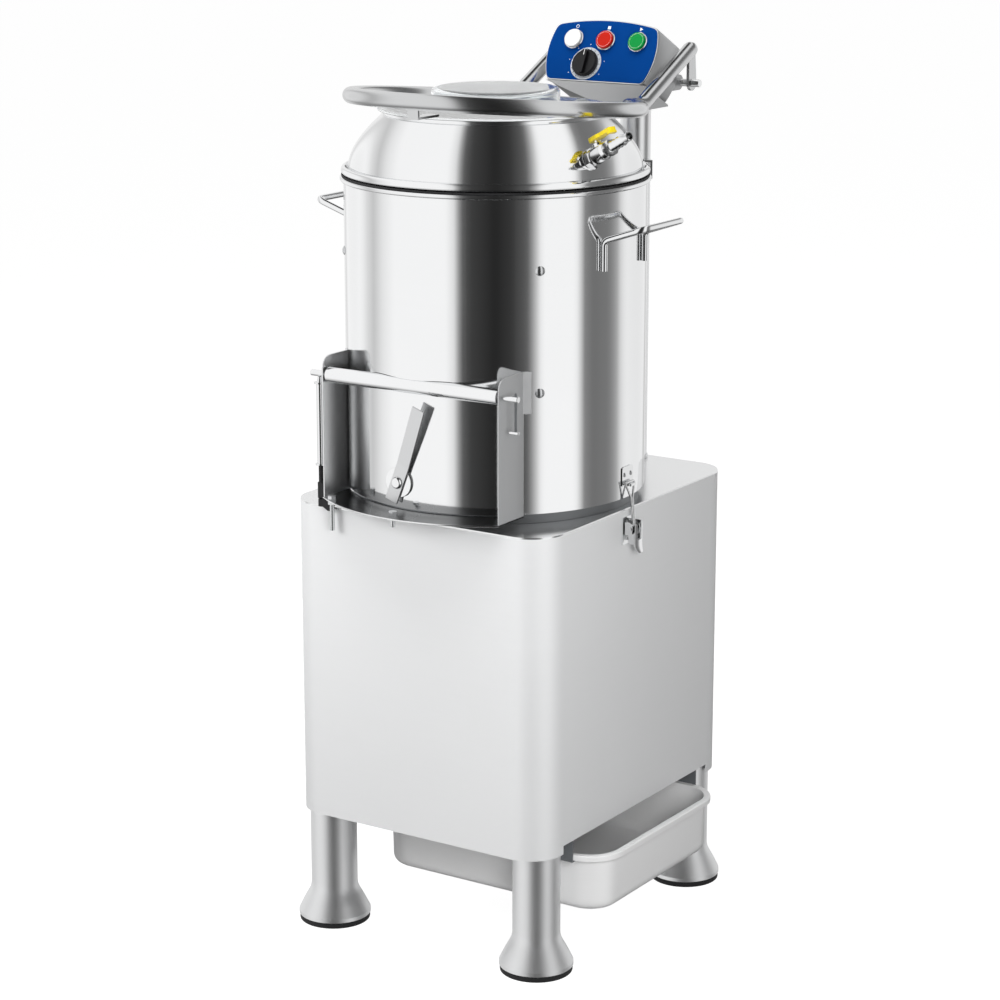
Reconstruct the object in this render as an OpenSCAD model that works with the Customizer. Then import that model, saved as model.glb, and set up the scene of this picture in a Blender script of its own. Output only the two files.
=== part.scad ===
// Electric potato peeler. A steel drum with an abrasive disc stands on a cabinet
// that holds the motor and the belt drive. Places along Y are measured from the
// drum's upright axis and moved together to the origin under the whole machine.

/* [Cabinet] */
// How far each side of the cabinet stands out past the drum's wall
cab_side = 2; // [1:0.5:10]
// Distance from the drum's wall to the cabinet's rear face
rear_room = 83; // [78:1:110]
// Height of the sheet casing
cab_h = 413; // [400:1:450]
// Radius of the upright corners
cab_r = 45; // [30:1:48]
// Thickness of the casing's sheet
sheet = 1.5; // [1:0.1:2]

/* [Legs] */
// Height from the floor to the casing's lower edge
leg_h = 158; // [150:1:200]
// Diameter of a leg's tube
leg_d = 60.3; // [55:0.1:62]
// Diameter of a leg's foot
foot_d = 94; // [84:1:98]
// Thickness of the rubber ring under a foot
ring_h = 7; // [5:0.5:10]

/* [Peel tray] */
// How much shorter the tray is than the cabinet is wide
tray_short = 30; // [24:1:60]
// Clearance between the tray and the tubes of the legs
tray_side = 3.1; // [2.8:0.1:12]
// Depth of the tray
tray_h = 76; // [56:1:82]
// How far the tray stands out of the casing
tray_out = 42; // [36:1:50]

/* [Drum] */
// Outer diameter of the drum
drum_d = 380; // [376:1:382]
// Height of the drum's wall
drum_h = 391; // [380:1:420]
// Thickness of the drum's wall
drum_wall = 2; // [1.5:0.1:2.5]
// Height of the ring that the drum stands on
seat_h = 13.5; // [12:0.5:18]
// Diameter of the main shaft
shaft_d = 25; // [22:1:28]
// Height of the disc's rim
disc_h = 10; // [8:1:14]

/* [Discharge chute] */
// Distance from the drum's widest point in to a cheek
chute_side = 61; // [59:1:64]
// Height of the door below its hinge
door_h = 148; // [130:1:150]
// Diameter of the door's hinge sleeve
sleeve_d = 19.5; // [16:0.5:20]
// Diameter of the door's hinge rod
pivot_d = 8; // [6:0.5:9]

/* [Dome and lid] */
// Radius of the dome's round shoulder
dome_r = 82; // [78:1:84]
// Distance from the drum's wall in to the feed mouth
mouth_step = 51; // [48:1:55]
// Distance from the drum's wall in to the middle of the lid frame's ring
hoop_step = 10; // [7:1:12]
// Diameter of the lid frame's tube
hoop_tube = 20; // [16:0.5:21]
// Tilt of the lid frame's ring
hoop_tilt = 5; // [4:0.5:6]
// Diameter of the raised middle of the clear lid
crown_d = 160; // [140:1:180]

/* [Control head] */
// Diameter of the column
column_d = 40; // [36:0.5:42]
// Height of the control panel's lower edge above the feed mouth's lip
panel_rise = 13.3; // [10:0.1:22]
// Lean of the control panel
panel_lean = 26.9; // [24:0.1:30]
// Depth of the control box
box_t = 68; // [60:1:72]
// Diameter of a push button's bezel
bezel_d = 28; // [26:0.5:30]
// Distance between the push buttons
button_gap = 48.5; // [44:0.5:52]
// Diameter of the timer knob
knob_d = 36; // [34:0.5:42]

/* [Hidden] */
$fn = 72;

// Shared clearances and overruns
over = 2;
run = 0.05;
fit = 0.1;
gap = 0.3;
eps = 0.01;
seam = 0.04;
fine = 360;

// Frame: place of the drum's axis along Y from the origin
axis_y = -47;

// Colours
steel = [0.80, 0.81, 0.82];
satin = [0.70, 0.71, 0.72];
dark_steel = [0.30, 0.31, 0.32];
grit = [0.33, 0.31, 0.29];
rubber_black = [0.06, 0.06, 0.06];
panel_blue = [0.01, 0.28, 0.58];

// Cabinet, whose front face stands under the drum's front
cab_w = drum_d + cab_side * 2;
cab_front = drum_d / 2;
cab_rear = drum_d / 2 + rear_room;
cab_d = cab_front + cab_rear;
cab_mid = (cab_rear - cab_front) / 2;
cab_top = leg_h + cab_h;
deck_t = 2;
cutout_h = 11;
cutout_margin = 26;
cover_side = 42;
cover_w = cab_w - cover_side * 2;
cover_rise = 45;
cover_drop = 38;
cover_h = cab_h - cover_rise - cover_drop;
cover_z = leg_h + cover_rise;
cover_lap = 14;
cover_hole_w = cover_w - cover_lap * 2;
cover_hole_h = cover_h - cover_lap * 2;
cover_screw_r = 2;
cover_head_r = 4.5;
cover_head_h = 2.5;
vent_w = 60;
vent_h = 5;
vent_step = 14;
vent_rows = 7;
vent_rise = 70;
vent_z = cover_z + vent_rise;
gland_inset = 55;
gland_x = gland_inset - cover_w / 2;
gland_rise = 60;
gland_z = cover_z + gland_rise;
gland_r = 8;
gland_nut_r = 12;
gland_nut_h = 5;
gland_dome_r = 10;
gland_dome_h = 14;
gland_bore_r = 4;
gland_inside = 8;

// Legs and base frame
leg_side = 35;
leg_inset = 43;
leg_x = cab_w / 2 - leg_side;
leg_wall = 2;
flare_z = 38;
flare_rim = 5;
leg_cap = 3;
frame_t = 4;
frame_over = 2;
frame_z = leg_h + cutout_h + frame_over;
frame_w = 36;
frame_lip = 25;
frame_gap = 0.2;
gusset_w = 84;
stud_r = 5;
stud_h = 12;

// Tray
tray_l = cab_w - tray_short;
tray_w = cab_d - (leg_inset + leg_d / 2 + tray_side) * 2;
tray_drop = 10;
tray_top = leg_h - tray_drop;
tray_rim = 9;
tray_skirt = 7;
tray_t = 1.2;
tray_corner = 40;
tray_x0 = cab_w / 2 + tray_out - tray_l;
rail_t = 2;
rail_ledge = 9;
rail_drop = gap;

// Duct under the drum
duct_r = 28;
duct_t = 1.5;
duct_inset = 50;
duct_x = duct_inset - drum_d / 2;
duct_y = 20;
duct_bend = 60;
duct_shift = 74;
duct_end_x = duct_x + duct_shift;
duct_mid_rise = 180;
duct_low_rise = 95;
duct_end_rise = 10;
duct_mid_z = leg_h + duct_mid_rise;
duct_low_z = leg_h + duct_low_rise;
duct_end_z = leg_h + duct_end_rise;

// Drum
drum_r = drum_d / 2;
drum_in = drum_r - drum_wall;
drum_z = cab_top + seat_h;
drum_top = drum_z + drum_h;
bead_r = 3;
bead_out = 4.7;
seat_inset = 8;
seat_out = drum_r - seat_inset;
seat_t = 6;
floor_t = 2.5;
floor_gap = 0.15;
liner_t = 3;
liner_gap = 0.4;
liner_z = 8;
liner_top = 14;
liner_out = drum_in - liner_gap;
screw_low = 150;
screw_high = 299;
screw_r = 3;
screw_head_r = 6;
screw_head_h = 3;
dome_head_r = 7.5;

// Disc and drive
disc_gap = 11;
disc_rise = 18;
disc_r = drum_in - disc_gap;
disc_z = drum_z + disc_rise;
ridge_w = 14;
ridge_h = 9;
ridge_in = 45;
nut_r = 26;
nut_h = 16;
nut_cap_r = 20;
shaft_r = shaft_d / 2;
shaft_drop = 148;
shaft_low = cab_top - shaft_drop;
spigot_r = 34;
spigot_in = 27;
housing_r = 40;
housing_drop = 98;
housing_low = cab_top - housing_drop;
flange_r = 72;
flange_t = 7;
bearing_r = 31;
bearing_w = 17;
bearing_inset = 6;
seal_w = 8;
pulley_drop = 142;
pulley_z = cab_top - pulley_drop;
pulley_h = 22;
pulley_gap = 22;
driven_r = -duct_x - duct_r - pulley_gap;
groove_depth = 8;
groove_r = driven_r - groove_depth;
motor_inset = 101;
motor_y = cab_rear - motor_inset;
motor_r = 68;
motor_h = 180;
motor_pulley_r = 30;
motor_groove_depth = 7;
motor_groove_r = motor_pulley_r - motor_groove_depth;
motor_shaft_r = 9.5;
belt_h = 10;
belt_t = 6;
plate_t = 5;
plate_drop = 10;
plate_z = pulley_z - plate_drop;
plate_w = 190;
plate_d = 168;
web_t = 4;
motor_flange_t = 9;
motor_flange_r = 78;
bolt_r = 4;
bolt_ring = 66;
fin_t = 3;
fin_count = 24;
fin_out = 6;
cowl_h = 40;
end_h = 14;
terminal_w = 60;
terminal_d = 26;
terminal_h = 70;

// Drum rim, gasket and dome
gasket_h = 2.4;
flange_z = drum_top + gasket_h;
flange_roll = 5;
flange_over = 3;
flange_out = drum_r + flange_over;
dome_inset = 88;
dome_drop = 4;
dome_mid_r = drum_r - dome_inset;
dome_mid_z = drum_top - dome_drop;
dome_t = 1.5;
mouth_r = drum_r - mouth_step;
mouth_base = dome_mid_z + sqrt(dome_r * dome_r - pow(mouth_r - dome_mid_r, 2));
lip_h = 12;
lip_roll = 3;
lip_top = mouth_base + lip_h;
clip_turn = 41;
clip_w = 14;
clip_t = 2.5;

// Drum handles
handle_d = 8;
handle_half = 48;
handle_height = 292;
handle_z = drum_z + handle_height;
handle_rise = 35;
handle_out = 54;
handle_tilt = 20;
handle_bend = 11;
handle_seat = sqrt(pow(drum_r + handle_d / 2 + eps, 2) - handle_half * handle_half);

// Chute, its door and the tie post
chute_w = drum_d - chute_side * 2;
cheek_t = 2;
cheek_out = 3;
cheek_front = drum_r + cheek_out;
cheek_r = 18;
cheek_top = 24;
chute_drop = 3.5;
chute_z = drum_z - chute_drop;
chute_floor_t = 2;
lip_out = 45;
lip_reach = cheek_front + lip_out;
lip_r = (pow(chute_w / 2 + cheek_t, 2) + pow(lip_reach - cheek_front, 2))
    / (lip_reach - cheek_front) / 2;
hinge_inset = 6;
hinge_y = hinge_inset - drum_r;
door_rise = 5.5;
hinge_z = drum_z + door_h + door_rise;
door_gap = 0.5;
door_t = 2;
door_side = 2.6;
door_lap = 3.5;
door_sill = 1.5;
window_half = chute_w / 2 - door_side - door_lap;
lug_w = 9;
lug_h = 52;
screw_room = 6.5;
screw_turn = asin((chute_w / 2 + lug_w + screw_room) / drum_r);
rod_out = 22;
chute_bolt_r = 3;
chute_nut_r = 5.5;
chute_nut_h = 4.5;
chute_bolt_drop = 13;
chute_bolt_x = -6;
chute_bolt_inset = 18;
long_bolt_drop = 38;
long_bolt_inset = 14;
long_bolt_x = long_bolt_inset - chute_w / 2;
long_bolt_out = 7;
post_out = 8;
post_x = -chute_w / 2 - cheek_t - post_out;
post_r = 5;
post_low = 42;
foot_t = 3;
foot_reach = 20;
post_drop = 8;

// Door lever
lever_x = -15;
lever_rise = 33;
lever_z = drum_z + lever_rise;
lever_w = 16;
lever_t = 2.5;
lever_l = 105;
lever_turn = 18;
lever_tail = 24;
boss_r = 16;
boss_t = 3;
lever_pin_r = 3;
lever_y = -drum_r - door_gap - door_t;
pin_head_r = 6;
pin_head_h = 4;

// Toggle latches
latch_y = 8;
keeper_w = 26;
keeper_h = 32;
keeper_t = 2;
keeper_rise = 16;
keeper_z = drum_z + keeper_rise;
hook_out = 8;
hook_w = 12;
hook_t = 2.5;
hook_lip = 0.5;
base_w = 30;
base_h = 60;
base_t = 2;
base_drop = 10;
base_top = cab_top - base_drop;
ear_t = 2;
ear_half = 10.5;
ear_out = 12;
toggle_inset = 14;
toggle_z = base_top - toggle_inset;
toggle_out = 8;
toggle_pin_r = 2;
toggle_drop = 8;
toggle_l = 40;
toggle_open = 13;
lug_half = 9;
wire_r = 1.5;
wire_bend = 4;
bail_half = 9;
bail_neck = 3.5;
wire_z = keeper_z + hook_t + wire_r + gap;
wire_gap = 0.8;
wire_x = drum_r + keeper_t + wire_r + wire_gap;

// Water valve
valve_turn = -16.5;
valve_rise = 27;
valve_height = 34;
valve_z = drum_top + valve_height;
valve_neck_r = 9;
valve_nut_r = 13;
valve_nut_h = 9;
valve_body_r = 11;
valve_body_l = 27;
valve_end_r = 10;
valve_end_h = 9;
tail_r = 5.5;
tail_in = 4;
barb_r = 7;
barb_l = 6.5;
barb_count = 4;
tail_plain = 7;
tail_l = barb_l * barb_count + tail_plain;
stem_r = 4;
stem_h = 22;
stem_at = valve_nut_h + valve_body_l / 2;
handle_l = 42;
handle_w = 15;
handle_t = 3;
handle_back = 11;
handle_flap = 9;

// Column and control head
column_x = 54;
column_inset = 22;
column_y = cab_rear - column_inset;
column_wall = 2;
column_foot_r = 21.5;
column_foot_h = 5;
column_drop = 28;
panel_z = lip_top + panel_rise;
column_top = panel_z - column_drop;
panel_lead = 16;
panel_y = column_y - panel_lead;
panel_w = 165;
panel_mid = 42;
panel_side_r = 94;
panel_apex = 86;
panel_arch_r = 350;
panel_t = 2.5;
box_wall = 1.5;
box_grow = 1;
cable_r = 9;
button_v = 57;
button_hole_r = 11.2;
bezel_h = 4;
barrel_l = 26;
barrel_in = 9.6;
button_r = 9.5;
button_rise = 4.5;
button_back = 14;
button_x = 3.5;
timer_x = -18;
timer_v = 24;
dial_r = 22;
dial_t = 1;
knob_z = 5;
knob_h = 8;
knob_bar_h = 10;
knob_bar_w = 7;
knob_shaft_r = 3;
timer_w = 44;
timer_h = 34;
timer_t = 30;
timer_neck_r = 5;
contactor_w = 45;
contactor_h = 48;
contactor_t = 36;
contactor_x = 46;
contactor_v = 27;
bracket_t = 2;
bracket_drop = 32;
bracket_low = panel_z - bracket_drop;
bracket_right_out = 25;
bracket_left_out = 30;
bracket_inset = 10.5;
bracket_right = column_x + bracket_right_out;
bracket_left = column_x - bracket_left_out;
bracket_left_top = bracket_inset - panel_w / 2;
bracket_lead = 5;
bracket_front = panel_y - bracket_lead;
bracket_back = 41;
bracket_rear = column_y + bracket_back;

// Lid frame
axle_back = 72;
axle_y = column_y + axle_back;
axle_drop = 3;
axle_z = panel_z - axle_drop;
axle_r = 5;
axle_out = 13;
arm_out = 13.5;
arm_x = panel_w / 2 + arm_out;
axle_x = arm_x + axle_out;
arm_short = 5;
arm_end_y = axle_y - arm_short;
arm_rise = 41;
arm_end_z = panel_z + arm_rise;
arm_bend = 40;
hoop_r = drum_r - hoop_step;
hoop_tube_r = hoop_tube / 2;
hoop_drop = 4.4;
hoop_z = panel_z - hoop_drop;
lug_t = 4;
lug_r = 10;
ear_inset = 6.5;
ear_x = panel_w / 2 - ear_inset;
ear_plate = 4;
tab_w = 16;
tab_t = 3;
tab_lap = 3;
tab_in = mouth_r - tab_lap;
lid_t = 3;
lid_gap = 0.3;
lid_over = 8;
lid_out = mouth_r + lid_over;
crown_h = 27;

// Outline helpers
module rounded(w, d, r) {
    square([w - r * 2, d], center = true);
    square([w, d - r * 2], center = true);
    for (x = [-1, 1], y = [-1, 1])
        translate([x * (w / 2 - r), y * (d / 2 - r)]) circle(r);
}

module ring(r_out, r_in, h) {
    difference() {
        cylinder(r = r_out, h = h);
        translate([0, 0, -over]) cylinder(r = r_in, h = h + over * 2);
    }
}

module casing_outline(inset) {
    translate([0, cab_mid]) rounded(cab_w - inset * 2, cab_d - inset * 2, cab_r - inset);
}

// Rods and tubes along straight runs and round bends
function unit(v) = v / norm(v);
function across(d) = unit(abs(d.z) < norm(d) / 2 ? cross(d, [0, 0, 1]) : cross(d, [1, 0, 0]));

module to_frame(e, f, d, p) {
    multmatrix([
        [e.x, f.x, d.x, p.x],
        [e.y, f.y, d.y, p.y],
        [e.z, f.z, d.z, p.z],
        [0, 0, 0, 1]
    ]) children();
}

module rod(a, b, r) {
    d = unit(b - a);
    e = across(d);
    to_frame(e, cross(d, e), d, a) cylinder(r = r, h = norm(b - a));
}

function turn_at(p, i) = acos(unit(p[i] - p[i - 1]) * unit(p[i + 1] - p[i]));
function trim_at(p, i, bend) =
    i <= 0 || i >= len(p) - 1 ? 0 : bend * tan(turn_at(p, i) / 2);

module elbow(corner, u, v, bend, r) {
    turn = acos(u * v);
    centre = corner + unit(v - u) * bend / cos(turn / 2);
    e = unit(corner - u * bend * tan(turn / 2) - centre);
    to_frame(e, u, cross(e, u), centre)
        rotate_extrude(angle = turn) translate([bend, 0]) circle(r);
}

// A ball a hair wider than the rod sits in each seam, so that the lengths join as one
module bent_rod(p, bend, r) {
    for (i = [0:len(p) - 2]) {
        d = unit(p[i + 1] - p[i]);
        start = p[i] + d * trim_at(p, i, bend);
        end = p[i + 1] - d * trim_at(p, i + 1, bend);
        rod(start, end, r);
        if (i > 0) translate(start) sphere(r + seam);
        if (i < len(p) - 2) translate(end) sphere(r + seam);
    }
    for (i = [1:len(p) - 2])
        elbow(p[i], unit(p[i] - p[i - 1]), unit(p[i + 1] - p[i]), bend, r);
}

// Every piece is drawn round the drum's axis and then moved over the origin
module at_axis() {
    translate([0, axis_y, 0]) children();
}

// Cabinet
module cabinet_shell() {
    color(satin) at_axis() difference() {
        translate([0, 0, leg_h]) linear_extrude(cab_h - deck_t) difference() {
            casing_outline(0);
            casing_outline(sheet);
        }
        translate([-cover_hole_w / 2, cab_rear - sheet - over, cover_z + cover_lap])
            cube([cover_hole_w, sheet + over * 2, cover_hole_h]);
        translate([cab_w / 2 - cab_r, cab_mid - tray_w / 2 - cutout_margin, leg_h - over])
            cube([cab_r + over, tray_w + cutout_margin * 2, cutout_h + over]);
        cover_screw_places() cylinder(r = cover_screw_r + fit, h = over * 6, center = true);
    }
}

module top_deck() {
    color(satin) at_axis() translate([0, 0, cab_top - deck_t]) difference() {
        linear_extrude(deck_t) casing_outline(0);
        translate([0, 0, -over]) cylinder(r = spigot_r + fit, h = deck_t + over * 2);
        translate([duct_x, duct_y, -over]) cylinder(r = duct_r + fit, h = deck_t + over * 2);
        translate([column_x, column_y, -over])
            cylinder(r = column_d / 2 - column_wall, h = deck_t + over * 2);
    }
}

module cover_screw_places() {
    for (x = [-1, 1], z = [0:3])
        translate([
            x * (cover_w - cover_lap) / 2,
            cab_rear,
            cover_z + cover_lap / 2 + z * (cover_h - cover_lap) / 3
        ]) rotate([-90, 0, 0]) children();
}

module rear_cover() {
    color(satin) at_axis() difference() {
        translate([-cover_w / 2, cab_rear, cover_z]) cube([cover_w, sheet, cover_h]);
        cover_screw_places() cylinder(r = cover_screw_r + fit, h = over * 6, center = true);
        for (side = [-1, 1], i = [0:vent_rows - 1])
            translate([side * vent_w - vent_w / 2, cab_rear - over, vent_z + i * vent_step])
                cube([vent_w - vent_h * 2, sheet + over * 2, vent_h]);
        translate([gland_x, cab_rear - over, gland_z]) rotate([-90, 0, 0])
            cylinder(r = gland_r + fit, h = sheet + over * 2);
    }
}

module rear_cover_screws() {
    color(steel) at_axis() cover_screw_places() {
        translate([0, 0, -sheet - over]) cylinder(r = cover_screw_r, h = sheet * 2 + over);
        translate([0, 0, sheet]) cylinder(r = cover_head_r, h = cover_head_h);
    }
}

// The inlet of the mains cable, with no cable in it
module cable_gland() {
    color(rubber_black) at_axis() translate([gland_x, cab_rear, gland_z]) rotate([-90, 0, 0]) difference() {
        union() {
            translate([0, 0, -gland_inside]) cylinder(r = gland_r, h = gland_inside + sheet + gland_nut_h);
            translate([0, 0, -gland_nut_h]) cylinder(r = gland_nut_r, h = gland_nut_h, $fn = 6);
            translate([0, 0, sheet]) cylinder(r = gland_nut_r, h = gland_nut_h, $fn = 6);
            translate([0, 0, sheet + gland_nut_h]) cylinder(r1 = gland_dome_r, r2 = gland_r, h = gland_dome_h);
        }
        translate([0, 0, -gland_inside - over])
            cylinder(r = gland_bore_r, h = gland_inside + sheet + gland_nut_h + gland_dome_h + over * 2);
    }
}

module leg_places() {
    for (x = [-1, 1], y = [-cab_front + leg_inset, cab_rear - leg_inset])
        translate([x * leg_x, y, 0]) children();
}

module base_frame() {
    color(dark_steel) at_axis() {
        difference() {
            translate([0, 0, frame_z]) {
                linear_extrude(frame_t) {
                    difference() {
                        casing_outline(sheet + frame_gap);
                        casing_outline(sheet + frame_gap + frame_w);
                    }
                    intersection() {
                        casing_outline(sheet + frame_gap);
                        union() {
                            leg_places() square(gusset_w, center = true);
                        }
                    }
                }
                linear_extrude(frame_lip) difference() {
                    casing_outline(sheet + frame_gap);
                    casing_outline(sheet + frame_gap + frame_t);
                }
            }
            translate([0, 0, frame_z - over])
                leg_places() cylinder(r = stud_r + fit, h = frame_t + over * 2);
        }
        for (side = [-1, 1]) tray_rail(side);
    }
}

module tray_rail(side) {
    rail_x0 = -cab_w / 2 + sheet + frame_gap;
    rail_l = cab_w - (sheet + frame_gap) * 2;
    web_in = tray_w / 2 + gap;
    ledge_z = tray_top - tray_skirt - rail_drop - rail_t;
    translate([rail_x0, cab_mid, 0]) {
        translate([0, side > 0 ? web_in : -web_in - rail_t, ledge_z])
            cube([rail_l, rail_t, frame_z - ledge_z]);
        translate([0, side > 0 ? web_in - rail_ledge : -web_in - rail_t, ledge_z])
            cube([rail_l, rail_ledge + rail_t, rail_t]);
    }
}

module leg() {
    color(satin) {
        difference() {
            union() {
                translate([0, 0, ring_h]) cylinder(d = foot_d, h = flare_rim);
                translate([0, 0, ring_h + flare_rim])
                    cylinder(d1 = foot_d, d2 = leg_d, h = flare_z - flare_rim);
                translate([0, 0, ring_h + flare_z]) cylinder(d = leg_d, h = frame_z - ring_h - flare_z);
            }
            translate([0, 0, ring_h + flare_rim])
                cylinder(d = leg_d - leg_wall * 2, h = frame_z - ring_h - flare_rim - leg_cap);
        }
        translate([0, 0, frame_z - eps]) cylinder(r = stud_r, h = stud_h);
    }
}

module legs() {
    at_axis() leg_places() leg();
}

module foot_rings() {
    color(rubber_black) at_axis() leg_places() cylinder(d = foot_d - over, h = ring_h);
}

// Peel tray
module tray_outline(inset) {
    translate([tray_l / 2, 0]) rounded(tray_l - inset * 2, tray_w - inset * 2, tray_corner + tray_rim - inset);
}

module peel_tray() {
    color(satin) at_axis() translate([tray_x0, cab_mid, 0]) {
        translate([0, 0, tray_top - tray_h]) difference() {
            linear_extrude(tray_h) tray_outline(tray_rim);
            translate([0, 0, tray_t]) linear_extrude(tray_h) tray_outline(tray_rim + tray_t);
        }
        translate([0, 0, tray_top - tray_t]) linear_extrude(tray_t) difference() {
            tray_outline(0);
            tray_outline(tray_rim + tray_t);
        }
        translate([0, 0, tray_top - tray_skirt]) linear_extrude(tray_skirt) difference() {
            tray_outline(0);
            tray_outline(tray_t);
        }
    }
}

module duct_path(r, extra) {
    bent_rod([
        [duct_x, duct_y, drum_z + extra],
        [duct_x, duct_y, duct_mid_z],
        [duct_end_x, duct_y, duct_low_z],
        [duct_end_x, duct_y, duct_end_z - extra]
    ], duct_bend, r);
}

module waste_duct() {
    color(dark_steel) at_axis() difference() {
        duct_path(duct_r, 0);
        duct_path(duct_r - duct_t, over);
    }
}

// Drum
module chute_window(half, low, high) {
    translate([-half, -drum_r - over, low]) cube([half * 2, drum_r, high - low]);
}

module sleeve_notch() {
    translate([-chute_w / 2, hinge_y, hinge_z]) rotate([0, 90, 0])
        cylinder(r = sleeve_d / 2 + door_gap, h = chute_w);
}

module liner_screw_places() {
    for (i = [-1, 1], j = [0, 180], z = [screw_low, screw_high])
        translate([0, 0, drum_z + z]) rotate([0, 0, j + i * (90 - screw_turn)])
            translate([drum_r, 0, 0]) rotate([0, 90, 0]) children();
}

module drum_shell() {
    color(steel) at_axis() difference() {
        union() {
            translate([0, 0, drum_z]) ring(drum_r, drum_in, drum_h);
            translate([0, 0, drum_top - bead_r]) rotate_extrude()
                translate([drum_r + bead_out - bead_r, 0]) {
                    circle(bead_r);
                    translate([-bead_out, -bead_r]) square([bead_out, bead_r * 2]);
                }
        }
        chute_window(window_half, drum_z + liner_z, hinge_z - sleeve_d / 4);
        sleeve_notch();
        liner_screw_places() cylinder(r = screw_r + fit, h = over * 8, center = true);
    }
}

module drum_floor() {
    color(steel) at_axis() difference() {
        union() {
            translate([0, 0, drum_z]) cylinder(r = drum_in - floor_gap, h = floor_t);
            translate([0, 0, cab_top]) ring(seat_out, seat_out - seat_t, seat_h);
        }
        translate([0, 0, drum_z - over]) cylinder(r = spigot_r + fit, h = floor_t + over * 2);
        translate([duct_x, duct_y, drum_z - over]) cylinder(r = duct_r - duct_t, h = floor_t + over * 2);
    }
}

module abrasive_liner() {
    color(grit) at_axis() difference() {
        translate([0, 0, drum_z + liner_z + over]) ring(liner_out, liner_out - liner_t,
            drum_h - liner_top - liner_z - over);
        chute_window(window_half + over, drum_z, hinge_z + sleeve_d);
        liner_screw_places() cylinder(r = screw_r + fit, h = over * 12, center = true);
    }
}

module liner_screws() {
    color(steel) at_axis() liner_screw_places() {
        translate([0, 0, -drum_wall - liner_gap - liner_t])
            cylinder(r = screw_r, h = drum_wall + liner_gap + liner_t);
        intersection() {
            cylinder(r = screw_head_r, h = screw_head_h);
            translate([0, 0, screw_head_h - dome_head_r]) sphere(dome_head_r);
        }
    }
}

// Disc and drive
module abrasive_disc() {
    color(grit) at_axis() translate([0, 0, disc_z]) difference() {
        union() {
            cylinder(r = disc_r, h = disc_h);
            for (i = [0:2]) rotate([0, 0, i * 120]) intersection() {
                translate([ridge_in, 0, disc_h]) rotate([0, 90, 0])
                    cylinder(r = ridge_w, h = disc_r - ridge_in - ridge_h);
                translate([0, -ridge_w, 0]) cube([disc_r, ridge_w * 2, disc_h + ridge_h]);
            }
        }
        translate([0, 0, -over]) cylinder(r = shaft_r + run, h = disc_h + ridge_h + over * 2);
    }
}

module disc_nut() {
    color(steel) at_axis() translate([0, 0, disc_z + disc_h]) difference() {
        union() {
            cylinder(r = nut_r, h = nut_h / 2);
            translate([0, 0, nut_h / 2]) cylinder(r1 = nut_r, r2 = nut_cap_r, h = nut_h / 2);
        }
        translate([0, 0, -over]) cylinder(r = shaft_r * 2 / 3 + run, h = nut_h / 2 + over);
    }
}

module main_shaft() {
    color(dark_steel) at_axis() {
        translate([0, 0, shaft_low]) cylinder(r = shaft_r, h = disc_z + disc_h - shaft_low);
        translate([0, 0, disc_z]) cylinder(r = shaft_r * 2 / 3, h = disc_h + nut_h / 2 - gap);
    }
}

module bearing_housing() {
    color(dark_steel) at_axis() difference() {
        union() {
            translate([0, 0, cab_top - deck_t - flange_t]) cylinder(r = flange_r, h = flange_t);
            translate([0, 0, housing_low]) cylinder(r = housing_r, h = cab_top - deck_t - housing_low);
            translate([0, 0, cab_top - deck_t]) cylinder(r = spigot_r, h = deck_t + seat_h + floor_t);
        }
        translate([0, 0, housing_low - over])
            cylinder(r = spigot_in, h = cab_top + seat_h + floor_t - housing_low + over * 2);
        for (z = bearing_levels)
            translate([0, 0, z]) cylinder(r = bearing_r + run, h = bearing_w);
        translate([0, 0, housing_low - over]) cylinder(r = bearing_r + run, h = bearing_inset + over * 2);
    }
}

bearing_levels = [housing_low + bearing_inset, cab_top - deck_t - flange_t - bearing_w];

module bearings() {
    color(steel) at_axis() for (z = bearing_levels)
        translate([0, 0, z]) ring(bearing_r, shaft_r + run, bearing_w);
}

module shaft_seal() {
    color(rubber_black) at_axis() translate([0, 0, cab_top + seat_h + floor_t - seal_w])
        ring(spigot_in, shaft_r + run, seal_w);
}

module pulley(r_out, r_groove, r_bore) {
    difference() {
        cylinder(r = r_out, h = pulley_h);
        translate([0, 0, (pulley_h - belt_h) / 2 - gap]) ring(r_out + over, r_groove, belt_h + gap * 2);
        translate([0, 0, -over]) cylinder(r = r_bore, h = pulley_h + over * 2);
    }
}

module driven_pulley() {
    color(dark_steel) at_axis() translate([0, 0, pulley_z]) pulley(driven_r, groove_r, shaft_r + run);
}

module motor_pulley() {
    color(dark_steel) at_axis() translate([0, motor_y, pulley_z])
        pulley(motor_pulley_r, motor_groove_r, motor_shaft_r + run);
}

// The belt's outline is two circles and the band between their common tangents
module belt_outline(grow) {
    big = groove_r + gap + grow;
    small = motor_groove_r + gap + grow;
    lean = asin((big - small) / motor_y);
    circle(big);
    translate([0, motor_y]) circle(small);
    polygon([
        [big * cos(lean), big * sin(lean)],
        [small * cos(lean), motor_y + small * sin(lean)],
        [-small * cos(lean), motor_y + small * sin(lean)],
        [-big * cos(lean), big * sin(lean)]
    ]);
}

module drive_belt() {
    color(rubber_black) at_axis() translate([0, 0, pulley_z + (pulley_h - belt_h) / 2])
        linear_extrude(belt_h) difference() {
            belt_outline(belt_t);
            belt_outline(0);
        }
}

module motor_shaft() {
    color(steel) at_axis() translate([0, motor_y, plate_z - motor_h / 3])
        cylinder(r = motor_shaft_r, h = pulley_z + pulley_h - plate_z + motor_h / 3);
}

module motor_bolt_places() {
    for (i = [0:3]) translate([0, motor_y, 0]) rotate([0, 0, 45 + i * 90])
        translate([bolt_ring, 0, 0]) children();
}

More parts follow.
